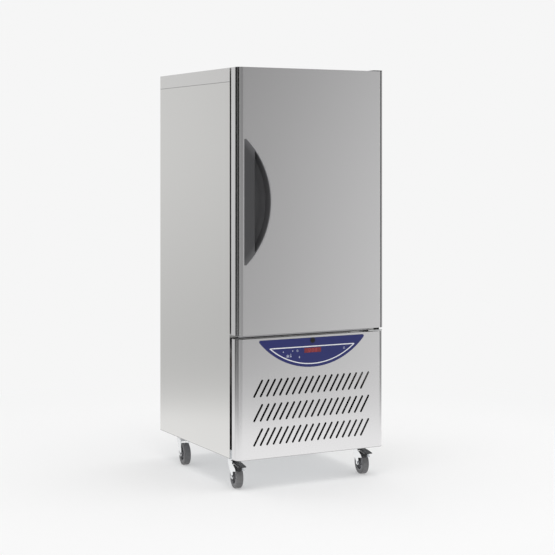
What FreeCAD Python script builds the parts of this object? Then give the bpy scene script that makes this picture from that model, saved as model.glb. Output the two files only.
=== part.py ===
"""Reach-in blast chiller: an insulated cabinet with one right-hinged door, a condensing unit behind
a slotted lower panel, and four swivel castors.

Frame: +X is the viewer's right, +Y runs from the door to the rear, +Z is up. The origin is on the
floor, in the middle of the plan. Most pieces are drawn from the cabinet's datum corner: its left
side, the door's front face and the underside of the body. All lengths are in millimetres.
"""
import FreeCAD, Part
import math
import os

import Sketcher

os.makedirs("parts", exist_ok=True)
doc = FreeCAD.newDocument("blast_chiller")
sheet = doc.addObject("Spreadsheet::Sheet", "dims")
Vector = FreeCAD.Vector
UP = Vector(0, 0, 1)
TINY = 1e-3
nodes = []


# ---------------------------------------------------------------- sizes and expressions
class Size(float):
    """A number that knows the sheet expression it comes from."""

    def __new__(cls, value, text):
        size = super().__new__(cls, value)
        size.text = text
        return size

    def __add__(self, other):
        return Size(float(self) + other, f"({self.text} + {text_of(other)})")

    def __radd__(self, other):
        return Size(other + float(self), f"({text_of(other)} + {self.text})")

    def __sub__(self, other):
        return Size(float(self) - other, f"({self.text} - {text_of(other)})")

    def __rsub__(self, other):
        return Size(other - float(self), f"({text_of(other)} - {self.text})")

    def __mul__(self, other):
        return Size(float(self) * other, f"({self.text} * {text_of(other)})")

    __rmul__ = __mul__

    def __truediv__(self, other):
        return Size(float(self) / other, f"({self.text} / {text_of(other)})")

    def __neg__(self):
        return Size(-float(self), f"(0 - {self.text})")


def text_of(value):
    """The expression for a value: its own, or the plain number."""
    return value.text if isinstance(value, Size) else f"{float(value):.6f}"


def root(value):
    """A square root, kept as an expression."""
    return Size(math.sqrt(value), f"sqrt({text_of(value)})")


def sine(angle):
    return Size(math.sin(math.radians(angle)), f"sin({text_of(angle)})")


def cosine(angle):
    return Size(math.cos(math.radians(angle)), f"cos({text_of(angle)})")


def bow_radius(reach, rise):
    """The radius of an arc that bows by rise over a half chord of reach."""
    return (reach * reach + rise * rise) / (rise * 2)


def size(name, value, meaning):
    """Write one driving dimension into the sheet and return it."""
    row = len(size.rows) + 1
    size.rows.append(name)
    sheet.set(f"A{row}", name)
    sheet.set(f"B{row}", str(value))
    sheet.set(f"C{row}", meaning)
    sheet.setAlias(f"B{row}", name)
    return Size(value, f"dims.{name}")


size.rows = []

# Cabinet
width = size("width", 750.0, "cabinet width")
depth = size("depth", 855.0, "door front to cabinet rear")
body_height = size("body_height", 1722.0, "underside of the base to the top")
skin = size("skin", 1.2, "outer sheet")
liner = size("liner", 1.0, "chamber sheet")
base_skin = size("base_skin", 2.0, "base tray sheet")
base_flange = size("base_flange", 40.0, "height of the base tray's upturned edge")
side_wall = size("side_wall", 60.0, "side skin to chamber")
top_wall = size("top_wall", 70.0, "top skin to chamber")
floor_wall = size("floor_wall", 60.0, "machine deck to chamber floor")
rear_wall = size("rear_wall", 60.0, "rear skin to chamber")
cap_band = size("cap_band", 62.0, "side skirt of the top cap")
side_land = size("side_land", 30.0, "steel face beside the door opening")
top_land = size("top_land", 40.0, "steel face over the door opening")
rear_flange = size("rear_flange", 20.0, "side panel's return at the rear")
breaker_depth = size("breaker_depth", 8.0, "plastic breaker strip, front to back")
rail_drop = size("rail_drop", 46.0, "front rail below the machine deck")
grille_recess = size("grille_recess", 30.0, "rear grille behind the rear edge")

# Door
door_thickness = size("door_thickness", 66.0, "door front to its inner liner")
seal_gap = size("seal_gap", 14.0, "door liner to cabinet face")
door_base = size("door_base", 547.0, "underside of the base to the door's lower edge")
edge_radius = size("edge_radius", 26.0, "rounded vertical edges of door and lower panel")
door_plate = size("door_plate", 2.0, "door inner liner sheet")
seal_lap = size("seal_lap", 4.0, "gasket outside the chamber opening")
seal_width = size("seal_width", 24.0, "gasket ring, across its face")
seal_clearance = size("seal_clearance", 0.3, "gasket to cabinet face")
foam_margin = size("foam_margin", 18.0, "hinge and lock blocks at the door's ends")

# Door handle
handle_left = size("handle_left", 30.0, "handle edge from the door's side")
handle_flat = size("handle_flat", 17.0, "straight top and bottom of the handle outline")
handle_rise = size("handle_rise", 120.0, "how far the handle outline bows")
handle_height = size("handle_height", 552.0, "handle outline, top to bottom")
handle_middle = size("handle_middle", 1131.0, "handle centre above the underside of the base")
handle_depth = size("handle_depth", 50.0, "moulded insert, front to back")
handle_floor = size("handle_floor", 4.0, "wall behind the finger pocket")
handle_rim = size("handle_rim", 7.0, "raised rim around the finger pocket")
handle_fit = size("handle_fit", 0.3, "insert to door skin")
grip_width = size("grip_width", 57.0, "vertical grip bar")
grip_thickness = size("grip_thickness", 21.0, "grip bar, front to back")
grip_root = size("grip_root", 22.0, "solid part behind the grip bar")
grip_round = size("grip_round", 7.0, "rounding of the grip bar")

# Lower service panel
panel_setback = size("panel_setback", 5.0, "panel face behind the door face")
panel_back = size("panel_back", 57.0, "rear edge of the panel's side returns")
panel_top = size("panel_top", 530.0, "panel height")
slot_width = size("slot_width", 9.5, "air slot")
slot_span = size("slot_span", 78.5, "air slot, between its end centres")
slot_lean = size("slot_lean", 30.0, "air slot, degrees from upright")
slot_margin = size("slot_margin", 83.0, "end air slots from the panel's sides")
row_pitch = size("row_pitch", 107.0, "air slots, row to row")
slot_low = size("slot_low", 63.0, "lowest air slot centre above the underside of the base")
slot_count = 18
row_count = 3

# Control fascia and lock
fascia_top = size("fascia_top", 521.0, "straight upper edge of the fascia")
fascia_drop = size("fascia_drop", 131.0, "height of the half moon")
fascia_radius = size("fascia_radius", 354.0, "half moon outline")
fascia_thickness = size("fascia_thickness", 2.4, "fascia in front of the panel")
fascia_round = size("fascia_round", 7.0, "rounded tips of the fascia")
window_width = size("window_width", 85.0, "display window")
window_height = size("window_height", 21.0, "display window")
window_middle = size("window_middle", 465.0, "display window centre")
window_fit = size("window_fit", 0.2, "display window in its cut-out")
module_width = size("module_width", 240.0, "controller housing")
module_height = size("module_height", 72.0, "controller housing")
module_depth = size("module_depth", 22.0, "controller housing")
module_middle = size("module_middle", 447.0, "controller housing centre")
lock_middle = size("lock_middle", 509.0, "lock axis above the underside of the base")
lock_collar = size("lock_collar", 12.0, "lock collar radius")
lock_shell = size("lock_shell", 9.0, "lock housing radius")
lock_core = size("lock_core", 7.0, "key barrel radius")
lock_length = size("lock_length", 30.0, "lock housing, front to back")
cam_reach = size("cam_reach", 46.0, "lock axis to the tip of its cam")
cam_thickness = size("cam_thickness", 3.0, "lock cam plate")
cam_clearance = size("cam_clearance", 2.0, "lock cam to its slots")
turning_fit = size("turning_fit", 0.05, "shaft to its bore, on the radius")

# Door hinges
hinge_inset = size("hinge_inset", 25.0, "hinge axis from the right side")
hinge_setback = size("hinge_setback", 30.0, "hinge axis from the door face")
hinge_pin = size("hinge_pin", 5.0, "hinge pin radius")
hinge_plate = size("hinge_plate", 4.0, "hinge bracket thickness")
hinge_leg = size("hinge_leg", 46.0, "hinge bracket leg on the cabinet face")
hinge_bite = size("hinge_bite", 16.0, "pin inside the door")
hinge_front = size("hinge_front", 12.0, "bracket edge from the door face")
bush_wall = size("bush_wall", 3.0, "door bush wall")
bush_clearance = size("bush_clearance", 0.1, "bush to door skin")
screw_head = size("screw_head", 4.8, "hinge screw head radius")
screw_shank = size("screw_shank", 2.5, "hinge screw shank radius")
screw_sink = size("screw_sink", 2.4, "hinge screw head height")
screw_fit = size("screw_fit", 0.2, "screw to its hole, on the radius")

# Castors
castor_left = size("castor_left", 44.0, "left swivel axes from the cabinet's left side")
castor_right = size("castor_right", 62.0, "right swivel axes from the cabinet's right side")
castor_front = size("castor_front", 128.0, "front swivel axis from the door face")
castor_rear = size("castor_rear", 168.0, "rear swivel axis from the rear")
castor_head = size("castor_head", 32.0, "wheel to the underside of the base")
castor_turn = size("castor_turn", 8.0, "castor at rest, degrees off the front")
castor_trail = size("castor_trail", 40.0, "swivel axis to wheel axle")
wheel_radius = size("wheel_radius", 51.0, "castor wheel")
wheel_width = size("wheel_width", 32.0, "castor tread")
hub_radius = size("hub_radius", 37.0, "castor wheel centre")
axle_radius = size("axle_radius", 5.0, "castor axle")
fork_gap = size("fork_gap", 36.0, "between the fork's legs")
fork_sheet = size("fork_sheet", 3.0, "fork leg thickness")
plate_width = size("plate_width", 68.0, "castor top plate across")
plate_length = size("plate_length", 92.0, "castor top plate front to back")
plate_sheet = size("plate_sheet", 3.0, "castor top plate thickness")
bolt_across = size("bolt_across", 48.0, "castor bolts across")
bolt_along = size("bolt_along", 72.0, "castor bolts front to back")
bolt_radius = size("bolt_radius", 4.0, "castor bolt shank")
pedal_reach = size("pedal_reach", 121.0, "swivel axis to pedal tip")
pedal_width = size("pedal_width", 36.0, "pedal tip")

# Chamber fittings
fan_space = size("fan_space", 195.0, "fan plate to the chamber's rear sheet")
air_gap = size("air_gap", 30.0, "air way over and under the fan plate")
fan_radius = size("fan_radius", 110.0, "fan blade tip")
fan_spacing = size("fan_spacing", 460.0, "between the evaporator fans")
rack_post = size("rack_post", 3.0, "rack post thickness")
runner_width = size("runner_width", 21.0, "shelf runner")
runner_sheet = size("runner_sheet", 3.0, "shelf runner thickness")
runner_pitch = size("runner_pitch", 80.0, "between shelf runners")
runner_low = size("runner_low", 48.0, "first runner above the chamber floor")
shelf_gap = size("shelf_gap", 25.0, "free space before and behind a shelf")
shelf_rod = size("shelf_rod", 3.0, "shelf border rod radius")
shelf_wire = size("shelf_wire", 1.6, "shelf wire radius")
shelf_play = size("shelf_play", 3.0, "shelf to rack post")
shelf_wires = 13
coil_left = size("coil_left", 47.5, "evaporator coil from the chamber's left side")
coil_right = size("coil_right", 107.5, "evaporator coil from the chamber's right side")
coil_depth = size("coil_depth", 76.0, "evaporator coil")
drip_height = size("drip_height", 26.0, "drip tray")

# Condensing unit
condenser_width = size("condenser_width", 440.0, "condenser block")
condenser_height = size("condenser_height", 408.0, "condenser frame")
condenser_depth = size("condenser_depth", 52.0, "condenser block")
shroud_depth = size("shroud_depth", 60.0, "fan shroud behind the condenser")
motor_radius = size("motor_radius", 38.0, "fan motor")
motor_length = size("motor_length", 60.0, "fan motor")
shaft_radius = size("shaft_radius", 4.0, "fan motor shaft")
compressor_radius = size("compressor_radius", 98.0, "compressor shell")
compressor_height = size("compressor_height", 250.0, "compressor shell above the base tray")
receiver_radius = size("receiver_radius", 48.0, "liquid receiver")
receiver_height = size("receiver_height", 250.0, "liquid receiver")
liquid_pipe = size("liquid_pipe", 5.0, "liquid line radius")
suction_pipe = size("suction_pipe", 8.0, "suction line radius")
drain_pipe = size("drain_pipe", 9.0, "drain spout radius")
gland_bore = size("gland_bore", 5.0, "cable gland bore radius")
gland_height = size("gland_height", 110.0, "cable gland above the underside of the base")
rest_gap = size("rest_gap", 0.3, "a seated piece to what carries it")
doc.recompute()

# Planes of the datum frame
castor_height = wheel_radius * 2 + castor_head
left = -width / 2
front = -depth / 2
middle = width / 2
condenser_left = middle - condenser_width / 2
face = door_thickness + seal_gap
rear_inner = depth - skin - skin
chamber_floor = door_base + 39.0
chamber_top = body_height - top_wall
chamber_back = depth - rear_wall
deck = chamber_floor - floor_wall
hinge_x = width - hinge_inset
fascia_front = panel_setback - fascia_thickness
fan_plate_front = chamber_back - fan_space
shelf_front = face + shelf_gap
shelf_back = fan_plate_front - shelf_gap
coil_start = side_wall + coil_left
coil_end = width - side_wall - coil_right
runner_count = int((chamber_top - chamber_floor - runner_low - 90.0) / runner_pitch) + 1
shelf_count = (runner_count - 1) // 2


# ---------------------------------------------------------------- building helpers
def bind(thing, name, value):
    """Set a property, and tie it to the sheet where the value comes from there."""
    if isinstance(value, Size):
        thing.setExpression(name, value.text)
    elif name in thing.PropertiesList:
        setattr(thing, name, value)


def place(thing, x, y, z, turn=0.0):
    """Put a finished sub-part at a point, turned about the vertical."""
    turned = FreeCAD.Rotation(UP, float(turn))
    thing.Placement = FreeCAD.Placement(Vector(float(x), float(y), float(z)), turned)
    bind(thing, "Placement.Base.x", x)
    bind(thing, "Placement.Base.y", y)
    bind(thing, "Placement.Base.z", z)
    bind(thing, "Placement.Rotation.Angle", turn)


def part(label, x=left, y=front, z=castor_height, turn=0.0):
    """An empty sub-part, drawn from the datum corner unless a place is given."""
    body = doc.addObject("PartDesign::Body", label)
    body.Label = label
    body.AllowCompound = True
    place(body, x, y, z, turn)
    nodes.append(body)
    return body


def origin_of(body, role):
    return [item for item in body.Origin.OriginFeatures if item.Role == role][0]


def sketch(body, name, plane, start):
    """A sketch on one of the body's origin planes, start away from it along the plane's axis."""
    drawn = body.newObject("Sketcher::SketchObject", name)
    drawn.AttachmentSupport = [(origin_of(body, f"{plane}_Plane"), "")]
    drawn.MapMode = "FlatFace"
    shift = -start if plane == "XZ" else start
    drawn.AttachmentOffset = FreeCAD.Placement(Vector(0, 0, float(shift)), FreeCAD.Rotation())
    bind(drawn, ".AttachmentOffset.Base.z", shift)
    return drawn


def hold(drawn, kind, value, *where):
    """A dimension in a sketch."""
    index = drawn.addConstraint(Sketcher.Constraint(kind, *where, float(value)))
    bind(drawn, f"Constraints[{index}]", value)


def hold_point(drawn, line, end, x, y):
    hold(drawn, "DistanceX", x, -1, 1, line, end)
    hold(drawn, "DistanceY", y, -1, 1, line, end)


def arc_between(start, end, radius):
    """The arc from start to end, counter-clockwise, under half a turn."""
    chord = end - start
    side = Vector(-chord.y, chord.x, 0).normalize()
    rise = math.sqrt(max(float(radius) ** 2 - chord.Length ** 2 / 4, 0.0))
    centre = (start + end) * 0.5 + side * rise
    first = math.atan2(start.y - centre.y, start.x - centre.x)
    last = math.atan2(end.y - centre.y, end.x - centre.x)
    if last < first:
        last += 2 * math.pi
    return Part.ArcOfCircle(Part.Circle(centre, UP, float(radius)), first, last)


def polygon(*corners, arcs=None):
    """A closed outline. arcs gives the radius of each side that is an arc, by its number."""
    arcs = arcs or {}

    def draw(drawn):
        first = drawn.GeometryCount
        points = [Vector(float(x), float(y), 0) for x, y in corners]
        count = len(points)
        for side in range(count):
            start, end = points[side], points[(side + 1) % count]
            if side in arcs:
                drawn.addGeometry(arc_between(start, end, arcs[side]), False)
            else:
                drawn.addGeometry(Part.LineSegment(start, end), False)
        for side in range(count):
            following = first + (side + 1) % count
            drawn.addConstraint(Sketcher.Constraint("Coincident", first + side, 2, following, 1))
        for side, (x, y) in enumerate(corners):
            hold_point(drawn, first + side, 1, x, y)
        for side, radius in arcs.items():
            hold(drawn, "Radius", radius, first + side)

    return draw


def rectangle(x0, y0, x1, y1):
    return polygon((x0, y0), (x1, y0), (x1, y1), (x0, y1))


def circle(x, y, radius):
    def draw(drawn):
        index = drawn.addGeometry(Part.Circle(Vector(float(x), float(y), 0), UP, float(radius)), False)
        hold_point(drawn, index, 3, x, y)
        hold(drawn, "Radius", radius, index)

    return draw


def hexagon(x, y, radius):
    """A nut or bolt head, radius to its corners."""
    corners = []
    for step in range(6):
        corners.append((x + radius * math.cos(step * math.pi / 3), y + radius * math.sin(step * math.pi / 3)))
    return polygon(*corners)


def slot(x, y, run, rise, radius):
    """A slot with round ends, from (x, y) to a point run and rise away."""

    def draw(drawn):
        first = drawn.GeometryCount
        start = Vector(float(x), float(y), 0)
        end = start + Vector(float(run), float(rise), 0)
        along = (end - start).normalize()
        side = Vector(-along.y, along.x, 0) * float(radius)
        drawn.addGeometry(Part.LineSegment(start - side, end - side), False)
        heading = math.atan2(along.y, along.x)
        quarter = math.pi / 2
        far_end = Part.Circle(end, UP, float(radius))
        near_end = Part.Circle(start, UP, float(radius))
        drawn.addGeometry(Part.ArcOfCircle(far_end, heading - quarter, heading + quarter), False)
        drawn.addGeometry(Part.LineSegment(end + side, start + side), False)
        drawn.addGeometry(Part.ArcOfCircle(near_end, heading + quarter, heading + 3 * quarter), False)
        for piece in range(4):
            following = first + (piece + 1) % 4
            drawn.addConstraint(Sketcher.Constraint("Tangent", first + piece, 2, following, 1))
        hold_point(drawn, first + 3, 3, x, y)
        hold_point(drawn, first + 1, 3, x + run, y + rise)
        hold(drawn, "Radius", radius, first + 1)

    return draw


def extrude(body, name, plane, start, end, *outlines, cut=False):
    """Add, or cut away, outlines drawn on a plane, between two places along that plane's axis."""
    before = body.Shape.Volume if cut else 0.0
    drawn = sketch(body, f"{name}_outline", plane, start)
    for outline in outlines:
        outline(drawn)
    feature = body.newObject("PartDesign::Pocket" if cut else "PartDesign::Pad", name)
    feature.Profile = drawn
    feature.Length = float(end - start)
    bind(feature, "Length", end - start)
    feature.Reversed = (plane == "XZ") != cut
    doc.recompute()
    if cut and not body.Shape.Volume < before - TINY:
        raise ValueError(f"{body.Label}: {name} cuts nothing")
    return feature


def drill(body, name, plane, start, end, *outlines):
    return extrude(body, name, plane, start, end, *outlines, cut=True)


def revolve(body, name, plane, outline, axis="V_Axis"):
    """A turned form: an outline on a plane, spun about one of the sketch's own axes."""
    drawn = sketch(body, f"{name}_outline", plane, 0.0)
    outline(drawn)
    feature = body.newObject("PartDesign::Revolution", name)
    feature.Profile = drawn
    feature.ReferenceAxis = (drawn, [axis])
    feature.Angle = 360.0
    doc.recompute()
    return feature


def chosen(shape_list, kind, test):
    return [f"{kind}{index + 1}" for index, item in enumerate(shape_list) if test(item.BoundBox)]


def round_edges(body, name, radius, test):
    """Fillet the edges whose boxes pass a test."""
    feature = body.newObject("PartDesign::Fillet", name)
    base = feature.BaseFeature or body.Tip
    feature.Base = (base, chosen(base.Shape.Edges, "Edge", test))
    feature.Radius = float(radius)
    bind(feature, "Radius", radius)
    doc.recompute()
    return feature


def shell(body, name, thickness, test):
    """Hollow a form to a sheet, leaving open the faces whose boxes pass a test."""
    feature = body.newObject("PartDesign::Thickness", name)
    base = feature.BaseFeature or body.Tip
    feature.Base = (base, chosen(base.Shape.Faces, "Face", test))
    feature.Value = float(thickness)
    bind(feature, "Value", thickness)
    feature.Mode = 0
    feature.Join = 1
    feature.Reversed = True
    doc.recompute()
    return feature


def repeat_grid(body, name, feature, columns, rows):
    """Repeat a feature along its own sketch's two axes. Each is a pitch and a count."""
    grid = body.newObject("PartDesign::MultiTransform", name)
    grid.Originals = [feature]
    steps = []
    for axis, (pitch, count) in (("H_Axis", columns), ("V_Axis", rows)):
        if count > 1:
            step = body.newObject("PartDesign::LinearPattern", f"{name}_{axis[0].lower()}")
            step.Direction = (feature.Profile[0], [axis])
            step.Occurrences = count
            step.Length = float(pitch * (count - 1))
            bind(step, "Length", pitch * (count - 1))
            steps.append(step)
    grid.Transformations = steps
    body.Tip = grid
    doc.recompute()
    return grid


def repeat_turned(body, name, features, axis, count):
    """Repeat features around one of the body's axes."""
    pattern = body.newObject("PartDesign::PolarPattern", name)
    pattern.Originals = features
    pattern.Axis = (origin_of(body, f"{axis}_Axis"), [""])
    pattern.Angle = 360.0
    pattern.Occurrences = count
    body.Tip = pattern
    doc.recompute()
    return pattern


def block(name, x0, x1, y0, y1, z0, z1):
    """A plain sheet or slab between six planes of the datum frame."""
    box = doc.addObject("Part::Box", name)
    box.Length, box.Width, box.Height = float(x1 - x0), float(y1 - y0), float(z1 - z0)
    bind(box, "Length", x1 - x0)
    bind(box, "Width", y1 - y0)
    bind(box, "Height", z1 - z0)
    place(box, left + x0, front + y0, castor_height + z0)
    return box


def group(label, pieces):
    """One node that holds several separate solids."""
    held = doc.addObject("Part::Compound", label)
    held.Label = label
    held.Links = pieces
    nodes.append(held)
    doc.recompute()
    return held


def near(value, wanted):
    return abs(value - float(wanted)) < 0.01


# ---------------------------------------------------------------- cabinet
def side_panel(label, across):
    """A side skin folded at the front, and the strip welded along its rear edge.

    across maps a distance from the panel's own side to a datum x.
    """
    top = body_height - cap_band
    sheet = part(f"{label}_sheet")
    extrude(sheet, "fold", "XY", 0.0, top, polygon(
        (across(0.0), face), (across(side_land), face), (across(side_land), face + skin),
        (across(skin), face + skin), (across(skin), depth), (across(0.0), depth)))
    drill(sheet, "tray_notch", "XZ", face - 1.0, face + skin + 1.0,
          rectangle(across(skin), -1.0, across(side_land + 1.0), base_flange + 1.0))
    strip = part(f"{label}_rear_strip")
    extrude(strip, "strip", "XY", 0.0, top,
            rectangle(across(skin), depth - skin, across(rear_flange), depth))
    nodes.remove(sheet)
    nodes.remove(strip)
    group(label, [sheet, strip])


def top_cap():
    """The lid of the cabinet: a shallow pan whose skirt stands on the side panels."""
    body = part("top_cap")
    low = body_height - cap_band
    extrude(body, "pan", "XY", low, body_height, rectangle(0.0, face, width, depth))
    shell(body, "sheet", skin, lambda box: near(box.ZMax, low))
    drill(body, "door_opening", "XZ", face - 1.0, face + skin + 1.0,
          rectangle(side_land, low - 1.0, width - side_land, body_height - top_land))
    drill(body, "hinge_holes", "XZ", face - 1.0, face + skin + 1.0,
          *(circle(x, z, screw_shank + screw_fit) for x, z in top_screw_places()))


def rear_panel():
    """The flat skin behind the chamber."""
    panel = block("rear_panel", skin, width - skin, rear_inner, depth - skin, deck + skin, body_height - skin)
    nodes.append(panel)


def rear_grille():
    """A slotted sheet set back behind the condensing unit, with the gland's hole and four welded rims."""
    front_side = depth - skin - grille_recess
    back_side = front_side + skin
    rear_edge = depth - skin
    sheet = part("grille_sheet")
    nodes.remove(sheet)
    extrude(sheet, "sheet", "XZ", front_side, back_side, rectangle(skin, base_flange, width - skin, deck))
    slat = drill(sheet, "slat_slot", "XZ", front_side - 1.0, back_side + 1.0,
                 slot(middle - 217.5, 200.0, 190.0, 0.0, 4.0))
    repeat_grid(sheet, "slats", slat, (245.0, 2), (22.0, 13))
    drill(sheet, "gland_hole", "XZ", front_side - 1.0, back_side + 1.0,
          circle(width - 90.0, gland_height, gland_bore + 3.0 + bush_clearance))
    inner = 2 * skin
    group("rear_grille", [
        sheet,
        block("left_rim", skin, inner, back_side, rear_edge, base_flange, deck),
        block("right_rim", width - inner, width - skin, back_side, rear_edge, base_flange, deck),
        block("low_rim", inner, width - inner, back_side, rear_edge, base_flange, base_flange + skin),
        block("high_rim", inner, width - inner, back_side, rear_edge, deck - skin, deck)])


def base_tray():
    """The pan that carries everything: it runs forward under the lower panel and backs its face."""
    body = part("base_tray")
    side = skin + rest_gap
    nose = panel_setback + skin
    corner = edge_radius + 4.0
    extrude(body, "pan", "XY", 0.0, base_flange, polygon(
        (side, depth - skin), (side, nose + corner), (side + corner, nose),
        (width - side - corner, nose), (width - side, nose + corner), (width - side, depth - skin)))
    shell(body, "sheet", base_skin, lambda box: near(box.ZMin, base_flange))
    holes = []
    for x, y in castor_places():
        for dx in (-bolt_across / 2, bolt_across / 2):
            for dy in (-bolt_along / 2, bolt_along / 2):
                holes.append(circle(x + dx, y + dy, bolt_radius + screw_fit))
    drill(body, "bolt_holes", "XY", -1.0, base_skin + 1.0, *holes)


def machine_deck():
    """The sheet between chamber and machine space, with the rail that carries the lower hinge."""
    body = part("machine_deck")
    rail_top = chamber_floor - liner - 29.0
    back = face + skin
    extrude(body, "rail", "YZ", side_land, width - side_land, polygon(
        (face, deck - rail_drop), (back, deck - rail_drop), (back, deck), (rear_inner, deck),
        (rear_inner, deck + skin), (back, deck + skin), (back, rail_top), (face, rail_top)))
    extrude(body, "plate", "XY", deck, deck + skin, rectangle(skin, back, width - skin, depth - skin))
    drill(body, "hinge_holes", "XZ", face - 1.0, back + 1.0,
          *(circle(x, z, screw_shank + screw_fit) for x, z in bottom_screw_places()))
    drill(body, "pipe_holes", "XY", deck - 1.0, deck + skin + 1.0, *pipe_holes())


def breaker_strips():
    """Four mitred plastic strips that part the cold liner from the outer skin."""
    body = part("breaker_strips")
    x0, x1 = side_land, side_wall - liner
    low0, low1 = chamber_floor - liner - 29.0, chamber_floor - liner
    high0, high1 = chamber_top + liner, body_height - top_land
    mitre = rest_gap
    back = face + breaker_depth
    extrude(body, "left_strip", "XZ", face, back, polygon(
        (x0, low0 + mitre), (x1, low1 + mitre), (x1, high0 - mitre), (x0, high1 - mitre)))
    extrude(body, "right_strip", "XZ", face, back, polygon(
        (width - x0, low0 + mitre), (width - x0, high1 - mitre),
        (width - x1, high0 - mitre), (width - x1, low1 + mitre)))
    extrude(body, "lower_strip", "XZ", face, back, polygon(
        (x0, low0), (width - x0, low0), (width - x1, low1), (x1, low1)))
    extrude(body, "upper_strip", "XZ", face, back, polygon(
        (x0, high1), (x1, high0), (width - x1, high0), (width - x0, high1)))


def insulation():
    """Foam slabs between the skins: two sides, floor, top and rear."""
    ahead = face + breaker_depth
    low, high = chamber_floor - liner, chamber_top + liner
    inner = side_wall - liner
    floor_slab = part("floor_foam")
    nodes.remove(floor_slab)
    extrude(floor_slab, "slab", "XY", deck + skin, low, rectangle(skin, ahead, width - skin, rear_inner))
    drill(floor_slab, "pipe_holes", "XY", deck, low + 1.0, *pipe_holes())
    group("insulation", [
        floor_slab,
        block("left_foam", skin, inner, ahead, rear_inner, low, high),
        block("right_foam", width - inner, width - skin, ahead, rear_inner, low, high),
        block("top_foam", skin, width - skin, ahead, rear_inner, high, body_height - skin),
        block("rear_foam", inner, width - inner, chamber_back + liner, rear_inner, low, high)])


def chamber_liner():
    """The chamber's five sheets, welded at their edges."""
    low, high = chamber_floor - liner, chamber_top + liner
    inner = side_wall - liner
    floor_sheet = part("floor_sheet")
    nodes.remove(floor_sheet)
    extrude(floor_sheet, "sheet", "XY", low, chamber_floor,
            rectangle(side_wall, face, width - side_wall, chamber_back))
    drill(floor_sheet, "pipe_holes", "XY", low - 1.0, chamber_floor + 1.0, *pipe_holes())
    group("chamber_liner", [
        floor_sheet,
        block("left_sheet", inner, side_wall, face, chamber_back + liner, low, high),
        block("right_sheet", width - side_wall, width - inner, face, chamber_back + liner, low, high),
        block("top_sheet", side_wall, width - side_wall, face, chamber_back, chamber_top, high),
        block("rear_sheet", side_wall, width - side_wall, chamber_back, chamber_back + liner, low, high)])


# ---------------------------------------------------------------- lower front
def service_panel():
    """The slotted lower panel: a pan with rounded vertical edges, open at its back and underside."""
    body = part("front_service_panel")
    extrude(body, "pan", "XY", 0.0, panel_top, rectangle(0.0, panel_setback, width, panel_back))
    round_edges(body, "corners", edge_radius,
                lambda box: near(box.YMax, panel_setback) and box.ZLength > 100)
    shell(body, "sheet", skin, lambda box: near(box.YMin, panel_back) or near(box.ZMax, 0.0))
    before, behind = panel_setback - 1.0, panel_setback + skin + 1.0
    run, rise = slot_span * sine(slot_lean), slot_span * cosine(slot_lean)
    slot_pitch = (width - slot_margin * 2 - run) / (slot_count - 1)
    air = drill(body, "air_slot", "XZ", before, behind,
                slot(slot_margin, slot_low, run, rise, slot_width / 2))
    repeat_grid(body, "air_slots", air, (slot_pitch, slot_count), (row_pitch, row_count))
    drill(body, "module_opening", "XZ", before, behind,
          rectangle(middle - 100.0, window_middle - 32.0, middle + 100.0, window_middle + 13.0))
    drill(body, "lock_hole", "XZ", before, behind, circle(middle, lock_middle, lock_shell + bush_clearance))
    cam_front = fascia_front + lock_length - cam_clearance
    drill(body, "cam_slot", "XY", panel_top - skin - 1.0, panel_top + 1.0,
          rectangle(middle - 10.0, cam_front, middle + cam_reach, cam_front + cam_thickness + cam_clearance * 2))


def fascia():
    """The half-moon control fascia, with a cut-out for the display and a hole for the lock."""
    body = part("control_fascia")
    lift = fascia_radius - fascia_drop
    half = root(fascia_radius * fascia_radius - lift * lift)
    extrude(body, "plate", "XZ", fascia_front, panel_setback, polygon(
        (middle - half, fascia_top), (middle, fascia_top - fascia_drop), (middle + half, fascia_top),
        arcs={0: fascia_radius, 1: fascia_radius}))
    round_edges(body, "tips", fascia_round,
                lambda box: box.YLength > 1 and abs(box.XMin - float(middle)) > float(half) - 1)
    drill(body, "window_opening", "XZ", fascia_front - 1.0, panel_setback + 1.0, rectangle(
        middle - window_width / 2 - window_fit, window_middle - window_height / 2 - window_fit,
        middle + window_width / 2 + window_fit, window_middle + window_height / 2 + window_fit))
    drill(body, "lock_hole", "XZ", fascia_front - 1.0, panel_setback + 1.0,
          circle(middle, lock_middle, lock_shell + bush_clearance))


def display_window():
    """The tinted window over the temperature display."""
    body = part("display_window")
    extrude(body, "lens", "XZ", fascia_front - 0.4, panel_setback + 1.0, rectangle(
        middle - window_width / 2, window_middle - window_height / 2,
        middle + window_width / 2, window_middle + window_height / 2))
    round_edges(body, "corners", 2.0, lambda box: box.YLength > 1)


def controller():
    """The controller's housing behind the panel, with its terminal block."""
    body = part("controller_box")
    near_side = panel_setback + skin
    low = module_middle - module_height / 2
    high = module_middle + module_height / 2
    extrude(body, "housing", "XZ", near_side, near_side + module_depth,
            rectangle(middle - module_width / 2, low, middle + module_width / 2, high))
    round_edges(body, "corners", 5.0, lambda box: box.YLength > 10)
    extrude(body, "terminals", "XZ", near_side + module_depth, near_side + module_depth + 9.0,
            rectangle(middle - 90.0, low + 6.0, middle + 90.0, low + 18.0))


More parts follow.
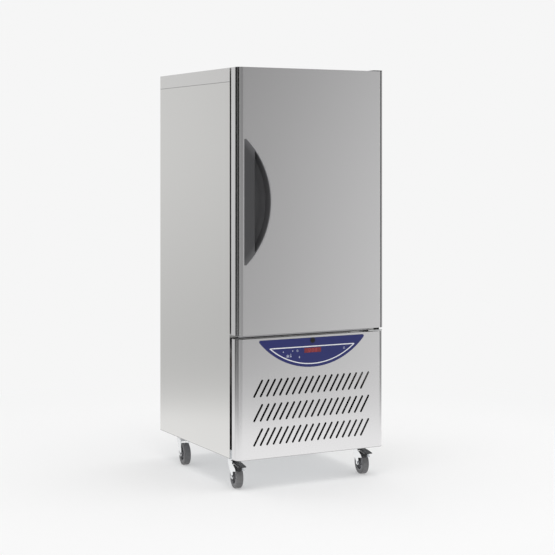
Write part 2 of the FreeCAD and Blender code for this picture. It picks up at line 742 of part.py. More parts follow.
def lock():
    """The lock in the fascia: a housing with its nut, and a key barrel that swings a cam upward."""
    housing = part("lock_housing")
    collar_front = fascia_front - 2.0
    end = fascia_front + lock_length - rest_gap
    bore = circle(middle, lock_middle, lock_core + turning_fit)
    extrude(housing, "collar", "XZ", collar_front, fascia_front, circle(middle, lock_middle, lock_collar), bore)
    extrude(housing, "sleeve", "XZ", fascia_front, end, circle(middle, lock_middle, lock_shell), bore)
    extrude(housing, "nut", "XZ", panel_setback + skin, panel_setback + skin + 5.0,
            hexagon(middle, lock_middle, 13.0), circle(middle, lock_middle, lock_shell - 0.5))
    barrel = part("lock_barrel")
    cam_front = fascia_front + lock_length
    extrude(barrel, "core", "XZ", collar_front - 0.2, cam_front, circle(middle, lock_middle, lock_core))
    extrude(barrel, "cam", "XZ", cam_front, cam_front + cam_thickness,
            slot(middle, lock_middle, cam_reach - 6.0, 0.0, 6.0))
    drill(barrel, "keyway", "XZ", collar_front - 1.0, collar_front + 6.0,
          rectangle(middle - 1.1, lock_middle - 4.5, middle + 1.1, lock_middle + 4.5))


# ---------------------------------------------------------------- door
def handle_outline(inset):
    """The handle's D, made smaller all round by inset: a flat left side and a bowed right one."""
    low = handle_middle - handle_height / 2 + inset
    high = handle_middle + handle_height / 2 - inset
    bow = handle_rise - inset
    half = handle_height / 2 - inset
    x0, x1 = handle_left + inset, handle_left + handle_flat
    return polygon((x0, low), (x1, low), (x1, high), (x0, high), arcs={1: bow_radius(half, bow)})


def door_skin():
    """The door's outer pan, with rounded vertical edges and the D-shaped handle opening."""
    body = part("door_outer_skin")
    back = door_thickness - door_plate
    extrude(body, "pan", "XY", door_base, body_height, rectangle(0.0, 0.0, width, back))
    round_edges(body, "corners", edge_radius, lambda box: near(box.YMax, 0.0) and box.ZLength > 100)
    shell(body, "sheet", skin, lambda box: near(box.YMin, back))
    drill(body, "handle_opening", "XZ", -1.0, skin + 1.0, handle_outline(0.0))
    hole = circle(hinge_x, hinge_setback, hinge_pin + bush_wall + bush_clearance)
    drill(body, "upper_bush_hole", "XY", body_height - skin - 1.0, body_height + 1.0, hole)
    drill(body, "lower_bush_hole", "XY", door_base - 1.0, door_base + skin + 1.0, hole)
    cam_front = fascia_front + lock_length - cam_clearance
    drill(body, "lock_slot", "XY", door_base - 1.0, door_base + skin + 1.0,
          rectangle(middle - 10.0, cam_front, middle + cam_reach, cam_front + cam_thickness + cam_clearance * 2))


def door_foam():
    """The door's filling: four slabs around the handle and a thin one behind it."""
    low, high = door_base + foam_margin, body_height - foam_margin
    x0, x1 = edge_radius, width - edge_radius
    cut = handle_left + handle_flat + handle_rise + 3.0
    half = handle_height / 2 + 3.0
    back = door_thickness - door_plate
    group("door_foam", [
        block("wide_foam", cut, x1, skin, back, low, high),
        block("under_handle_foam", x0, cut, skin, back, low, handle_middle - half),
        block("over_handle_foam", x0, cut, skin, back, handle_middle + half, high),
        block("behind_handle_foam", x0, cut, skin + handle_depth + rest_gap, back,
              handle_middle - half, handle_middle + half)])


def door_liner():
    """The door's inner sheet, with a dished-out middle that stands inside the gasket."""
    body = part("door_inner_liner")
    back = door_thickness - door_plate
    edge = 0.5
    rise = 8.0
    extrude(body, "plate", "XZ", back, door_thickness,
            rectangle(edge, door_base + edge, width - edge, body_height - edge))
    margin = seal_lap - 14.0
    x0, x1 = side_wall - margin, width - side_wall + margin
    z0, z1 = chamber_floor - margin, chamber_top + margin
    extrude(body, "plateau", "XZ", door_thickness, door_thickness + rise, rectangle(x0, z0, x1, z1))
    round_edges(body, "plateau_corners", 12.0,
                lambda box: near(box.YMin, door_thickness) and near(box.YMax, door_thickness + rise))
    drill(body, "hollow", "XZ", back, door_thickness + rise - liner,
          rectangle(x0 + 12.0, z0 + 12.0, x1 - 12.0, z1 - 12.0))


def door_gasket():
    """The magnetic gasket, four lengths mitred at the corners: a foot and a narrower bellows."""
    body = part("door_gasket")
    steps = (("foot", 0.0, door_thickness, door_thickness + 5.0),
             ("bellows", 3.0, door_thickness + 5.0, face - seal_clearance))
    for name, inset, near_side, far_side in steps:
        x0 = side_wall - seal_lap - seal_width + inset
        x1 = side_wall - seal_lap - inset
        low0, low1 = chamber_floor - seal_lap - seal_width + inset, chamber_floor - seal_lap - inset
        high0, high1 = chamber_top + seal_lap + inset, chamber_top + seal_lap + seal_width - inset
        mitre = rest_gap
        extrude(body, f"left_{name}", "XZ", near_side, far_side, polygon(
            (x0, low0 + mitre), (x1, low1 + mitre), (x1, high0 - mitre), (x0, high1 - mitre)))
        extrude(body, f"right_{name}", "XZ", near_side, far_side, polygon(
            (width - x0, low0 + mitre), (width - x0, high1 - mitre),
            (width - x1, high0 - mitre), (width - x1, low1 + mitre)))
        extrude(body, f"lower_{name}", "XZ", near_side, far_side, polygon(
            (x0, low0), (width - x0, low0), (width - x1, low1), (x1, low1)))
        extrude(body, f"upper_{name}", "XZ", near_side, far_side, polygon(
            (x0, high1), (x1, high0), (width - x1, high0), (width - x0, high1)))


def handle_insert():
    """The moulded handle: a grip bar at the left, and a finger pocket that runs in behind it."""
    body = part("handle_insert")
    near_side = skin / 3
    extrude(body, "moulding", "XZ", near_side, handle_depth + skin, handle_outline(handle_fit))
    half = handle_height / 2
    radius = bow_radius(half, handle_rise)
    centre = handle_left + handle_flat + handle_rise - radius
    grip_edge = handle_left + grip_width
    inner = radius - handle_rim
    reach = root(inner * inner - (grip_edge - centre) * (grip_edge - centre))
    pocket_back = handle_depth - handle_floor
    drill(body, "pocket", "XZ", near_side - 1.0, pocket_back, polygon(
        (grip_edge, handle_middle - reach), (grip_edge, handle_middle + reach), arcs={0: inner}))
    drill(body, "behind_grip", "XY", handle_middle - reach + 20.0, handle_middle + reach - 20.0, rectangle(
        handle_left + grip_root, grip_thickness, grip_edge + 1.0, pocket_back))
    edge, rounded = grip_edge, near_side + grip_round
    drill(body, "grip_rounding", "XY", handle_middle - reach, handle_middle + reach, polygon(
        (edge - grip_round, near_side), (edge, rounded), (edge + 1.0, rounded),
        (edge + 1.0, near_side - 1.0), (edge - grip_round, near_side - 1.0), arcs={0: grip_round}))


def door_bushes():
    """Nylon bushes in the door's top and bottom, with a flange inside the skin."""
    body = part("door_bushes")
    bore = circle(hinge_x, hinge_setback, hinge_pin + turning_fit)
    tube = circle(hinge_x, hinge_setback, hinge_pin + bush_wall)
    flange = circle(hinge_x, hinge_setback, hinge_pin + bush_wall + 3.0)
    extrude(body, "lower_tube", "XY", door_base, door_base + hinge_bite, tube, bore)
    extrude(body, "lower_flange", "XY", door_base + skin, door_base + skin + 2.0, flange, bore)
    extrude(body, "upper_tube", "XY", body_height - hinge_bite, body_height, tube, bore)
    extrude(body, "upper_flange", "XY", body_height - skin - 2.0, body_height - skin, flange, bore)


# ---------------------------------------------------------------- hinges
def top_screw_places():
    x = width - hinge_inset / 2
    return [(x, body_height - 16.0), (x, body_height - 34.0)]


def bottom_screw_places():
    z = door_base - 15.0 - hinge_leg / 2
    return [(width - 72.0, z), (width - 42.0, z)]


def hinge_top():
    """The upper hinge: a plate over the door with a pin down into it, and a leg on the cabinet."""
    body = part("hinge_bracket_top")
    low = body_height + 0.5
    high = low + hinge_plate
    leg_side = width - hinge_inset + 1.0
    extrude(body, "plate", "XY", low, high, rectangle(width - 50.0, hinge_front, width - 1.0, face))
    round_edges(body, "plate_corners", 8.0, lambda box: near(box.YMax, hinge_front) and box.ZLength > 1)
    extrude(body, "leg", "XZ", face - hinge_plate, face, rectangle(leg_side, high - hinge_leg, width - 1.0, high))
    extrude(body, "pin", "XY", body_height - hinge_bite, low, circle(hinge_x, hinge_setback, hinge_pin))
    cut_screw_holes(body, top_screw_places())


def hinge_bottom():
    """The lower hinge: a plate in the gap under the door, a pin up, and a leg on the front rail."""
    body = part("hinge_bracket_bottom")
    high = door_base - 11.0
    low = high - hinge_plate
    extrude(body, "plate", "XY", low, high, rectangle(width - 81.0, hinge_front, width - 1.0, face))
    round_edges(body, "plate_corners", 8.0, lambda box: near(box.YMax, hinge_front) and box.ZLength > 1)
    extrude(body, "leg", "XZ", face - hinge_plate, face,
            rectangle(width - 81.0, high - hinge_leg, width - 1.0, high))
    extrude(body, "pin", "XY", high, door_base + hinge_bite, circle(hinge_x, hinge_setback, hinge_pin))
    cut_screw_holes(body, bottom_screw_places())
    bush = part("hinge_cam_bush")
    extrude(bush, "ring", "XY", high, door_base - rest_gap,
            circle(hinge_x, hinge_setback, 13.0), circle(hinge_x, hinge_setback, hinge_pin + turning_fit))


def cut_screw_holes(body, places):
    """Through holes with a recess for each flush screw head."""
    outer = face - hinge_plate
    drill(body, "screw_holes", "XZ", outer - 1.0, face + 1.0,
          *(circle(x, z, screw_shank + screw_fit) for x, z in places))
    drill(body, "head_recesses", "XZ", outer - 1.0, outer + screw_sink,
          *(circle(x, z, screw_head + screw_fit) for x, z in places))


def hinge_screws():
    """The four screws that hold the hinge brackets."""
    body = part("hinge_screws")
    outer = face - hinge_plate
    places = top_screw_places() + bottom_screw_places()
    for number, (x, z) in enumerate(places):
        extrude(body, f"head_{number}", "XZ", outer, outer + screw_sink, circle(x, z, screw_head))
        extrude(body, f"shank_{number}", "XZ", outer + screw_sink, face + skin + 3.0, circle(x, z, screw_shank))


# ---------------------------------------------------------------- castors
def castor_places():
    """The four swivel axes, from the datum corner: front left, front right, rear left, rear right."""
    back = depth - castor_rear
    right_side = width - castor_right
    return [(castor_left, castor_front), (right_side, castor_front), (castor_left, back), (right_side, back)]


def castor_tops():
    """Top plates with their raceways and king pins, and the bolts that hold them to the tray."""
    plates, bolts = [], []
    for number, (x, y) in enumerate(castor_places()):
        plate = part(f"castor_plate_{number}", left + x, front + y, castor_height)
        nodes.remove(plate)
        holes = []
        half_x, half_y = plate_width / 2, plate_length / 2
        for dx in (-bolt_across / 2, bolt_across / 2):
            for dy in (-bolt_along / 2, bolt_along / 2):
                holes.append(circle(dx, dy, bolt_radius + screw_fit))
        extrude(plate, "plate", "XY", -plate_sheet, 0.0, rectangle(-half_x, -half_y, half_x, half_y), *holes)
        round_edges(plate, "plate_corners", 8.0, lambda box: box.ZLength > 1 and abs(box.XMin) > 30)
        revolve(plate, "raceway", "XZ", polygon(
            (0.0, -plate_sheet), (0.0, -23.0), (9.0, -23.0), (9.0, -19.0), (6.0, -19.0),
            (6.0, -9.0), (21.0, -9.0), (25.0, -plate_sheet)))
        plates.append(plate)
        for dx in (-bolt_across / 2, bolt_across / 2):
            for dy in (-bolt_along / 2, bolt_along / 2):
                bolt = part("bolt", left + x + dx, front + y + dy, castor_height)
                nodes.remove(bolt)
                extrude(bolt, "head", "XY", -plate_sheet - 5.0, -plate_sheet, hexagon(0.0, 0.0, 7.5))
                extrude(bolt, "shank", "XY", -plate_sheet, base_skin + 8.0, circle(0.0, 0.0, bolt_radius))
                extrude(bolt, "nut", "XY", base_skin, base_skin + 6.0, hexagon(0.0, 0.0, 7.5))
                bolts.append(bolt)
    group("castor_plates", plates)
    group("castor_bolts", bolts)


def castor_part(label, x, y):
    """A sub-part drawn in a castor's own frame: its swivel axis, with the wheel trailing to -Y."""
    return part(label, left + x, front + y, castor_height, -castor_turn)


def fork(label, x, y, braked):
    """The swivelling fork: crown, two legs, axle with its nuts, and the pedal's pivot pin.

    A braked fork also carries a brake plate in front of the tyre, on two ears.
    """
    body = castor_part(label, x, y)
    axle_z = wheel_radius - castor_height
    crown_low, crown_high = -18.0, -9.0 - rest_gap
    inner = fork_gap / 2
    outer = inner + fork_sheet
    extrude(body, "crown", "XY", crown_low, crown_low + 3.0, rectangle(-outer, -20.0, outer, 24.0),
            circle(0.0, 0.0, 6.0 + turning_fit))
    extrude(body, "race", "XY", crown_low + 3.0, crown_high, circle(0.0, 0.0, 27.0),
            circle(0.0, 0.0, 6.0 + turning_fit))
    boss = 11.0
    leg = polygon(
        (-36.0, crown_low + 3.0), (-castor_trail - boss, axle_z),
        (-castor_trail + boss * cosine(40.0), axle_z - boss * sine(40.0)),
        (24.0, crown_low - 10.0), (24.0, crown_low + 3.0), arcs={1: boss})
    for side in (-1, 1):
        start = inner if side > 0 else -outer
        extrude(body, f"leg_{side + 1}", "YZ", start, start + fork_sheet, leg)
    for side in (-1, 1):
        start = outer if side > 0 else -outer - 5.0
        extrude(body, f"axle_nut_{side + 1}", "YZ", start, start + 5.0, hexagon(-castor_trail, axle_z, 8.0))
    extrude(body, "axle", "YZ", -inner, inner, circle(-castor_trail, axle_z, axle_radius))
    extrude(body, "pedal_pin", "YZ", -inner, inner, circle(-30.0, -22.0, 3.0))
    if not braked:
        return

    def off_tyre(gap, degrees):
        """A point off the tyre's tread, by degrees forward of its top."""
        reach = wheel_radius + gap
        return -castor_trail - reach * sine(degrees), axle_z + reach * cosine(degrees)

    extrude(body, "brake_plate", "YZ", -inner, inner, polygon(
        off_tyre(4.0, 41.0), off_tyre(6.0, 41.0), off_tyre(6.0, 56.0), off_tyre(4.0, 56.0)))
    for side in (-1, 1):
        start = inner if side > 0 else -outer
        extrude(body, f"ear_{side + 1}", "YZ", start, start + fork_sheet, polygon(
            (-37.0, crown_low - 6.0), off_tyre(6.0, 41.0), off_tyre(6.0, 56.0), (-44.0, -60.0)))


def wheel(tag, x, y):
    """A wheel: a moulded centre with a boss and web, and a grey tyre around it."""
    axle_z = wheel_radius - castor_height
    half = wheel_width / 2
    hub = castor_part(f"castor_hub_{tag}", x, y)
    bore = circle(-castor_trail, axle_z, axle_radius + turning_fit)
    rim = circle(-castor_trail, axle_z, hub_radius - 6.0)
    extrude(hub, "web", "YZ", -4.0, 4.0, circle(-castor_trail, axle_z, hub_radius), bore)
    extrude(hub, "rim", "YZ", -half + 1.0, half - 1.0, circle(-castor_trail, axle_z, hub_radius), rim)
    extrude(hub, "boss", "YZ", rest_gap - fork_gap / 2, fork_gap / 2 - rest_gap,
            circle(-castor_trail, axle_z, 11.0), bore)
    tyre = castor_part(f"castor_tyre_{tag}", x, y)
    extrude(tyre, "tread", "YZ", -half, half, circle(-castor_trail, axle_z, wheel_radius),
            circle(-castor_trail, axle_z, hub_radius + turning_fit))
    round_edges(tyre, "shoulders", 5.0, lambda box: box.ZLength > wheel_radius * 2 - 1.0 and box.XLength < 0.1)


def pedal(label, x, y):
    """The brake pedal of a front castor, a pressed lever on a pin between the fork's legs."""
    body = castor_part(label, x, y)
    half = fork_gap / 2 - 1.0
    extrude(body, "eye", "YZ", -half, half, circle(-30.0, -22.0, 6.0), circle(-30.0, -22.0, 3.0 + turning_fit))
    extrude(body, "lever", "YZ", -half, half, polygon(
        (-35.0, -18.7), (-35.0, -25.0), (-62.0, -25.5), (-62.0, -20.5)))
    extrude(body, "tread", "YZ", -pedal_width / 2, pedal_width / 2, polygon(
        (-58.0, -20.0), (-58.0, -25.5), (-pedal_reach + 6.0, -31.0),
        (-pedal_reach, -29.0), (-pedal_reach + 4.0, -25.0)))


# ---------------------------------------------------------------- chamber fittings
def pipe_holes():
    """Where the liquid line, the suction line and the drain pass through the chamber floor."""
    return [circle(LIQUID_RISER[0], LIQUID_RISER[1], liquid_pipe + 1.0),
            circle(SUCTION_RISER[0], SUCTION_RISER[1], suction_pipe + 1.0),
            circle(DRAIN_AT[0], DRAIN_AT[1], drain_pipe + 1.0)]


def evaporator_fan_places():
    level = (chamber_floor + chamber_top) / 2
    return [(middle, level - fan_spacing / 2), (middle, level + fan_spacing / 2)]


def fan_plate():
    """The sheet in front of the evaporator, with side returns and radial air slots at each fan."""
    body = part("evaporator_fan_plate")
    low, high = chamber_floor + air_gap, chamber_top - air_gap
    side = side_wall + rest_gap
    back = fan_plate_front + 22.0
    extrude(body, "pan", "XZ", fan_plate_front, back, rectangle(side, low, width - side, high))
    shell(body, "sheet", skin, lambda box: near(box.YMin, back) or near(box.ZMax, low) or near(box.ZMin, high))
    for number, (x, z) in enumerate(evaporator_fan_places()):
        slots = []
        for step in range(16):
            angle = 2 * math.pi * (step + 0.5) / 16
            reach = fan_radius - 45.0
            slots.append(slot(x + 38.0 * math.cos(angle), z + 38.0 * math.sin(angle),
                              reach * math.cos(angle), reach * math.sin(angle), 5.0))
        drill(body, f"air_slots_{number}", "XZ", fan_plate_front - 1.0, fan_plate_front + skin + 1.0, *slots)


def fan(label, x, seat, z):
    """An axial fan: a hub and five pitched blades, its air side against the seat plane."""
    body = part(label, left + x, front + seat, castor_height + z)
    extrude(body, "hub", "XZ", 8.0, 33.0, circle(0.0, 0.0, 30.0), circle(0.0, 0.0, shaft_radius + turning_fit))
    drawn = sketch(body, "blade_outline", "YZ", 27.0)
    polygon((10.0, -24.0), (12.5, -24.0), (31.0, 24.0), (28.5, 24.0))(drawn)
    blade = body.newObject("PartDesign::Pad", "blade")
    blade.Profile = drawn
    blade.Length = float(fan_radius - 32.0)
    bind(blade, "Length", fan_radius - 32.0)
    doc.recompute()
    repeat_turned(body, "blades", [blade], "Y", 5)


def fan_motors():
    """Three like motors, each on four arms that stand on the plate in front of its fan."""
    units = []
    seats = [(x, fan_plate_front + skin, z) for x, z in evaporator_fan_places()]
    seats.append(CONDENSER_FAN)
    for x, seat, z in seats:
        unit = part("motor_unit", left + x, front + seat, castor_height + z)
        nodes.remove(unit)
        bars = 39.0
        extrude(unit, "can", "XZ", bars, bars + motor_length, circle(0.0, 0.0, motor_radius))
        round_edges(unit, "can_edge", 6.0, lambda box: near(box.YMin, bars + float(motor_length)))
        extrude(unit, "shaft", "XZ", 10.0, bars, circle(0.0, 0.0, shaft_radius))
        reach = fan_radius + 12.0
        extrude(unit, "arms", "XZ", bars, bars + 4.0,
                rectangle(-reach, -6.0, reach, 6.0))
        extrude(unit, "upright_arms", "XZ", bars, bars + 4.0, rectangle(-6.0, -reach, 6.0, reach))
        for number, (dx, dz) in enumerate(((1, 0), (-1, 0), (0, 1), (0, -1))):
            x0 = dx * (reach - 2.0)
            z0 = dz * (reach - 2.0)
            extrude(unit, f"leg_{number}", "XZ", 0.0, bars + 4.0, rectangle(
                x0 - (2.0 if dx else 6.0), z0 - (2.0 if dz else 6.0),
                x0 + (2.0 if dx else 6.0), z0 + (2.0 if dz else 6.0)))
        units.append(unit)
    group("fan_motors", units)


def evaporator():
    """The finned evaporator block between its end plates, and the drip tray under it."""
    coil = part("evaporator_coil")
    x0, x1 = coil_start, coil_end
    y1 = chamber_back - 9.0
    y0 = y1 - coil_depth
    low, high = chamber_floor + 54.0, chamber_top - 50.0
    extrude(coil, "core", "XY", low + 10.0, high - 10.0, rectangle(x0 + 2.0, y0 + 3.0, x1 - 2.0, y1))
    for name, x in (("left_end", x0), ("right_end", x1 - 2.0)):
        extrude(coil, name, "YZ", x, x + 2.0, rectangle(y0, low, chamber_back - rest_gap, high))
    tray = part("drip_tray")
    extrude(tray, "pan", "XY", chamber_floor + rest_gap, chamber_floor + drip_height,
            rectangle(x0 - 6.0, y0 - 4.0, x1 + 6.0, chamber_back - 1.0))
    shell(tray, "sheet", liner, lambda box: near(box.ZMin, chamber_floor + drip_height))
    extrude(tray, "spout", "XY", deck - 40.0, chamber_floor + rest_gap + liner,
            circle(DRAIN_AT[0], DRAIN_AT[1], drain_pipe))
    drill(tray, "spout_bore", "XY", deck - 41.0, chamber_floor + rest_gap + liner + 1.0,
          circle(DRAIN_AT[0], DRAIN_AT[1], drain_pipe - 1.5))


def shelf_racks():
    """Posts and flat runners on both sides of the chamber."""
    pieces = []
    low, high = chamber_floor + 14.0, chamber_top - 10.0
    runner_front, runner_back = shelf_front - 5.0, shelf_back + 5.0
    for side, across in (("left", from_left), ("right", from_right)):
        for name, y in (("front", face + 60.0), ("back", runner_back - 100.0)):
            x0, x1 = sorted((across(side_wall), across(side_wall + rack_post)))
            pieces.append(block(f"{side}_{name}_post", x0, x1, y, y + 30.0, low, high))
        x0, x1 = sorted((across(side_wall + rack_post), across(side_wall + rack_post + runner_width)))
        for level in range(runner_count):
            z = chamber_floor + runner_low + runner_pitch * level
            name = f"{side}_runner_{level}"
            pieces.append(block(name, x0, x1, runner_front, runner_back, z, z + runner_sheet))
    group("shelf_racks", pieces)


def rod(start, end, radius):
    """A straight round wire between two points of the datum frame."""
    corner = Vector(float(left), float(front), float(castor_height))
    begin = Vector(*(float(value) for value in start))
    finish = Vector(*(float(value) for value in end))
    return Part.makeCylinder(float(radius), (finish - begin).Length, begin + corner, finish - begin)


def wire_shelves():
    """Wire shelves: thick side rods, three cross rods and wires laid over them, front to back."""
    x0 = side_wall + rack_post + shelf_play
    x1 = width - x0
    y0, y1 = shelf_front, shelf_back
    inset = shelf_rod + 2.0
    cross = shelf_rod * 0.8
    shelves = []
    for number in range(shelf_count):
        level = 1 + 2 * number
        z = chamber_floor + runner_low + runner_pitch * level + runner_sheet + shelf_rod + 0.1
        over = z + cross + shelf_wire - 0.6
        rods = [rod((x0 + inset, y0, z), (x0 + inset, y1, z), shelf_rod),
                rod((x1 - inset, y0, z), (x1 - inset, y1, z), shelf_rod)]
        for y in (y0 + inset, (y0 + y1) / 2, y1 - inset):
            rods.append(rod((x0, y, z), (x1, y, z), cross))
        gap = (x1 - x0 - inset * 2) / (shelf_wires + 1)
        for step in range(shelf_wires):
            x = x0 + inset + gap * (step + 1)
            rods.append(rod((x, y0, over), (x, y1, over), shelf_wire))
        shelf = doc.addObject("Part::Feature", f"shelf_{number}")
        shelf.Shape = rods[0].multiFuse(rods[1:])
        shelves.append(shelf)
    group("wire_shelves", shelves)


# ---------------------------------------------------------------- condensing unit
def condenser():
    """The condenser's finned block in its end plates, and the fan shroud behind it."""
    coil = part("condenser_coil")
    x0, x1 = condenser_left, condenser_left + condenser_width
    y0 = face + 6.0
    y1 = y0 + condenser_depth
    low, high = base_skin, base_skin + condenser_height
    extrude(coil, "core", "XY", low + 40.0, high - 12.0, rectangle(x0 + 3.0, y0 + 9.0, x1 - 3.0, y1 - 2.0))
    fin = extrude(coil, "fin", "XY", low + 40.0, high - 12.0, rectangle(x0 + 8.0, y0 + 2.0, x0 + 10.0, y0 + 9.0))
    repeat_grid(coil, "fins", fin, ((condenser_width - 18.0) / 32, 33), (0.0, 1))
    for name, x in (("left_end", x0), ("right_end", x1 - 3.0)):
        extrude(coil, name, "YZ", x, x + 3.0, rectangle(y0, low, y1, high))
    shroud = part("condenser_shroud")
    extrude(shroud, "pan", "XZ", y1, y1 + shroud_depth, rectangle(x0, low, x1, high))
    shell(shroud, "sheet", skin, lambda box: near(box.YMax, y1))
    x, seat, z = CONDENSER_FAN
    drill(shroud, "fan_opening", "XZ", seat - skin - 1.0, seat + 1.0, circle(x, z, fan_radius + 4.0))


def compressor():
    """The hermetic compressor: a welded domed shell on a foot plate, with its terminal cover."""
    x, y = COMPRESSOR_AT
    body = part("compressor", left + x, front + y, castor_height + base_skin)
    radius = compressor_radius
    high = compressor_height
    dome = 60.0
    revolve(body, "shell", "XZ", polygon(
        (0.0, 16.0), (radius - 40.0, 16.0), (radius - 4.0, 50.0), (radius - 4.0, high / 2),
        (radius, high / 2), (radius, high / 2 + 8.0), (radius - 4.0, high / 2 + 8.0),
        (radius - 4.0, high - dome), (0.0, high), arcs={1: 46.0, 7: bow_radius(radius - 4.0, dome)}))
    extrude(body, "foot_plate", "XY", 14.0, 18.0, rectangle(-radius - 6.0, -radius + 14.0, radius + 6.0, radius - 14.0))
    feet = []
    for dx in (-1, 1):
        for dy in (-1, 1):
            feet.append(circle((radius - 8.0) * dx, (radius - 28.0) * dy, 11.0))
    extrude(body, "feet", "XY", 0.0, 14.0, *feet)
    extrude(body, "terminal_cover", "XZ", -radius - 26.0, -radius + 12.0, rectangle(-32.0, 90.0, 32.0, 150.0))


def receiver():
    """The liquid receiver: a small domed vessel on a ring foot."""
    x, y = RECEIVER_AT
    body = part("liquid_receiver", left + x, front + y, castor_height + base_skin)
    radius = receiver_radius
    high = receiver_height
    revolve(body, "vessel", "XZ", polygon(
        (0.0, 0.0), (radius - 6.0, 0.0), (radius - 6.0, 12.0), (radius, 24.0), (radius, high - 24.0),
        (0.0, high), arcs={4: bow_radius(radius, 24.0)}))


def pipe_run(bend, radius, *points):
    """A round pipe along straight runs joined by tangent arcs of one bend radius."""
    corner = Vector(float(left), float(front), float(castor_height))
    marks = [Vector(*(float(value) for value in point)) + corner for point in points]
    edges = []
    start = marks[0]
    for before, here, after in zip(marks, marks[1:], marks[2:]):
        incoming = (here - before).normalize()
        outgoing = (after - here).normalize()
        enter = here - incoming * bend
        leave = here + outgoing * bend
        crown = here + (outgoing - incoming) * (bend * (1 - math.sqrt(0.5)))
        edges.append(Part.LineSegment(start, enter).toShape())
        edges.append(Part.Arc(enter, crown, leave).toShape())
        start = leave
    edges.append(Part.LineSegment(start, marks[-1]).toShape())
    path = Part.Wire(edges)
    ring = Part.Wire([Part.makeCircle(float(radius), marks[0], marks[1] - marks[0])])
    pipe = path.makePipeShell([ring], True, False)
    expected = math.pi * float(radius) ** 2 * path.Length
    if abs(pipe.Volume - expected) > expected * 0.01:
        raise ValueError("a pipe does not have its section times its length")
    return pipe


def refrigerant_pipes():
    """Discharge, condensate, liquid and suction lines, each in one bent length."""
    cx, cy = COMPRESSOR_AT
    rx, ry = RECEIVER_AT
    coil_y = face + 30.0
    coil_x = condenser_left
    lane = coil_x - 65.0
    low = base_skin
    drier_level = low + receiver_height + 36.0
    evaporator_side = coil_end
    liquid_x, liquid_y = LIQUID_RISER
    suction_x, suction_y = SUCTION_RISER
    gap = rest_gap
    shell_side = compressor_radius - 4.0 + 0.5
    suction_bend = (cx + shell_side + suction_x) / 2
    runs = [
        pipe_run(22.0, liquid_pipe, (cx - shell_side, cy, low + 170.0), (lane, cy, low + 170.0),
                 (lane, cy, low + 430.0), (lane, coil_y, low + 430.0), (lane, coil_y, low + 370.0),
                 (coil_x - gap, coil_y, low + 370.0)),
        pipe_run(22.0, liquid_pipe, (coil_x - gap, coil_y, low + 60.0), (60.0, coil_y, low + 60.0),
                 (60.0, ry, low + 60.0), (rx - receiver_radius - 0.5, ry, low + 60.0)),
        pipe_run(18.0, liquid_pipe, (rx, ry, low + receiver_height + gap), (rx, ry, drier_level),
                 (rx, DRIER_FRONT - gap, drier_level)),
        pipe_run(22.0, liquid_pipe, (rx, DRIER_FRONT + DRIER_LENGTH + gap, drier_level),
                 (rx, liquid_y, drier_level), (liquid_x, liquid_y, drier_level),
                 (liquid_x, liquid_y, chamber_floor + 130.0),
                 (evaporator_side + gap, liquid_y, chamber_floor + 130.0)),
        pipe_run(26.0, suction_pipe, (evaporator_side + gap, suction_y, chamber_floor + 90.0),
                 (suction_x, suction_y, chamber_floor + 90.0), (suction_x, suction_y, low + 200.0),
                 (suction_bend, suction_y, low + 200.0), (suction_bend, cy, low + 200.0),
                 (cx + shell_side, cy, low + 200.0))]
    for number, run in enumerate(runs):
        item = doc.addObject("Part::Feature", f"pipe_{number}")
        item.Shape = run
        runs[number] = item
    group("refrigerant_pipes", runs)


def filter_drier():
    """The drier in the liquid line: a can with tapered ends, along Y."""
    rx, _ = RECEIVER_AT
    level = base_skin + receiver_height + 36.0
    body = part("filter_drier", left + rx, front + DRIER_FRONT, castor_height + level)
    revolve(body, "can", "XY", polygon(
        (0.0, 0.0), (7.0, 0.0), (22.0, 16.0), (22.0, DRIER_LENGTH - 16.0), (7.0, DRIER_LENGTH),
        (0.0, DRIER_LENGTH)))


def electrical_box():
    """The relay and contactor enclosure on the right side wall, with its lid."""
    body = part("electrical_box")
    x1 = width - skin
    x0 = x1 - 110.0
    y0, y1 = depth - 385.0, depth - 165.0
    extrude(body, "box", "XY", 200.0, 400.0, rectangle(x0, y0, x1, y1))
    extrude(body, "lid", "YZ", x0 - 4.0, x0, rectangle(y0 - 4.0, 196.0, y1 + 4.0, 404.0))


def cable_gland():
    """The strain relief for the mains lead, in the rear grille: a hex body, a sleeve and a nut."""
    body = part("cable_gland")
    x = width - 90.0
    grille = depth - skin - grille_recess
    bore = circle(x, gland_height, gland_bore)
    extrude(body, "sleeve", "XZ", grille - 12.0, grille + skin + 3.0,
            circle(x, gland_height, gland_bore + 3.0), bore)
    extrude(body, "nut", "XZ", grille - 5.0, grille, hexagon(x, gland_height, 12.0), bore)
    extrude(body, "hex_body", "XZ", grille + skin, grille + skin + 8.0, hexagon(x, gland_height, 12.0), bore)
    extrude(body, "dome", "XZ", grille + skin + 8.0, grille + skin + 22.0,
            circle(x, gland_height, gland_bore + 4.0), bore)


def from_left(distance):
    return distance


def from_right(distance):
    return width - distance


# Places inside the machine space, from the datum corner
LIQUID_RISER = (width - side_wall - 75.0, depth - 90.0)
SUCTION_RISER = (width - side_wall - 75.0, depth - 135.0)
DRAIN_AT = (middle - 60.0, depth - 110.0)
COMPRESSOR_AT = (240.0, depth - 325.0)
RECEIVER_AT = (width - 215.0, 400.0)
DRIER_FRONT = 485.0
DRIER_LENGTH = 100.0
CONDENSER_FAN = (middle, face + 6.0 + condenser_depth + shroud_depth, base_skin + condenser_height / 2)

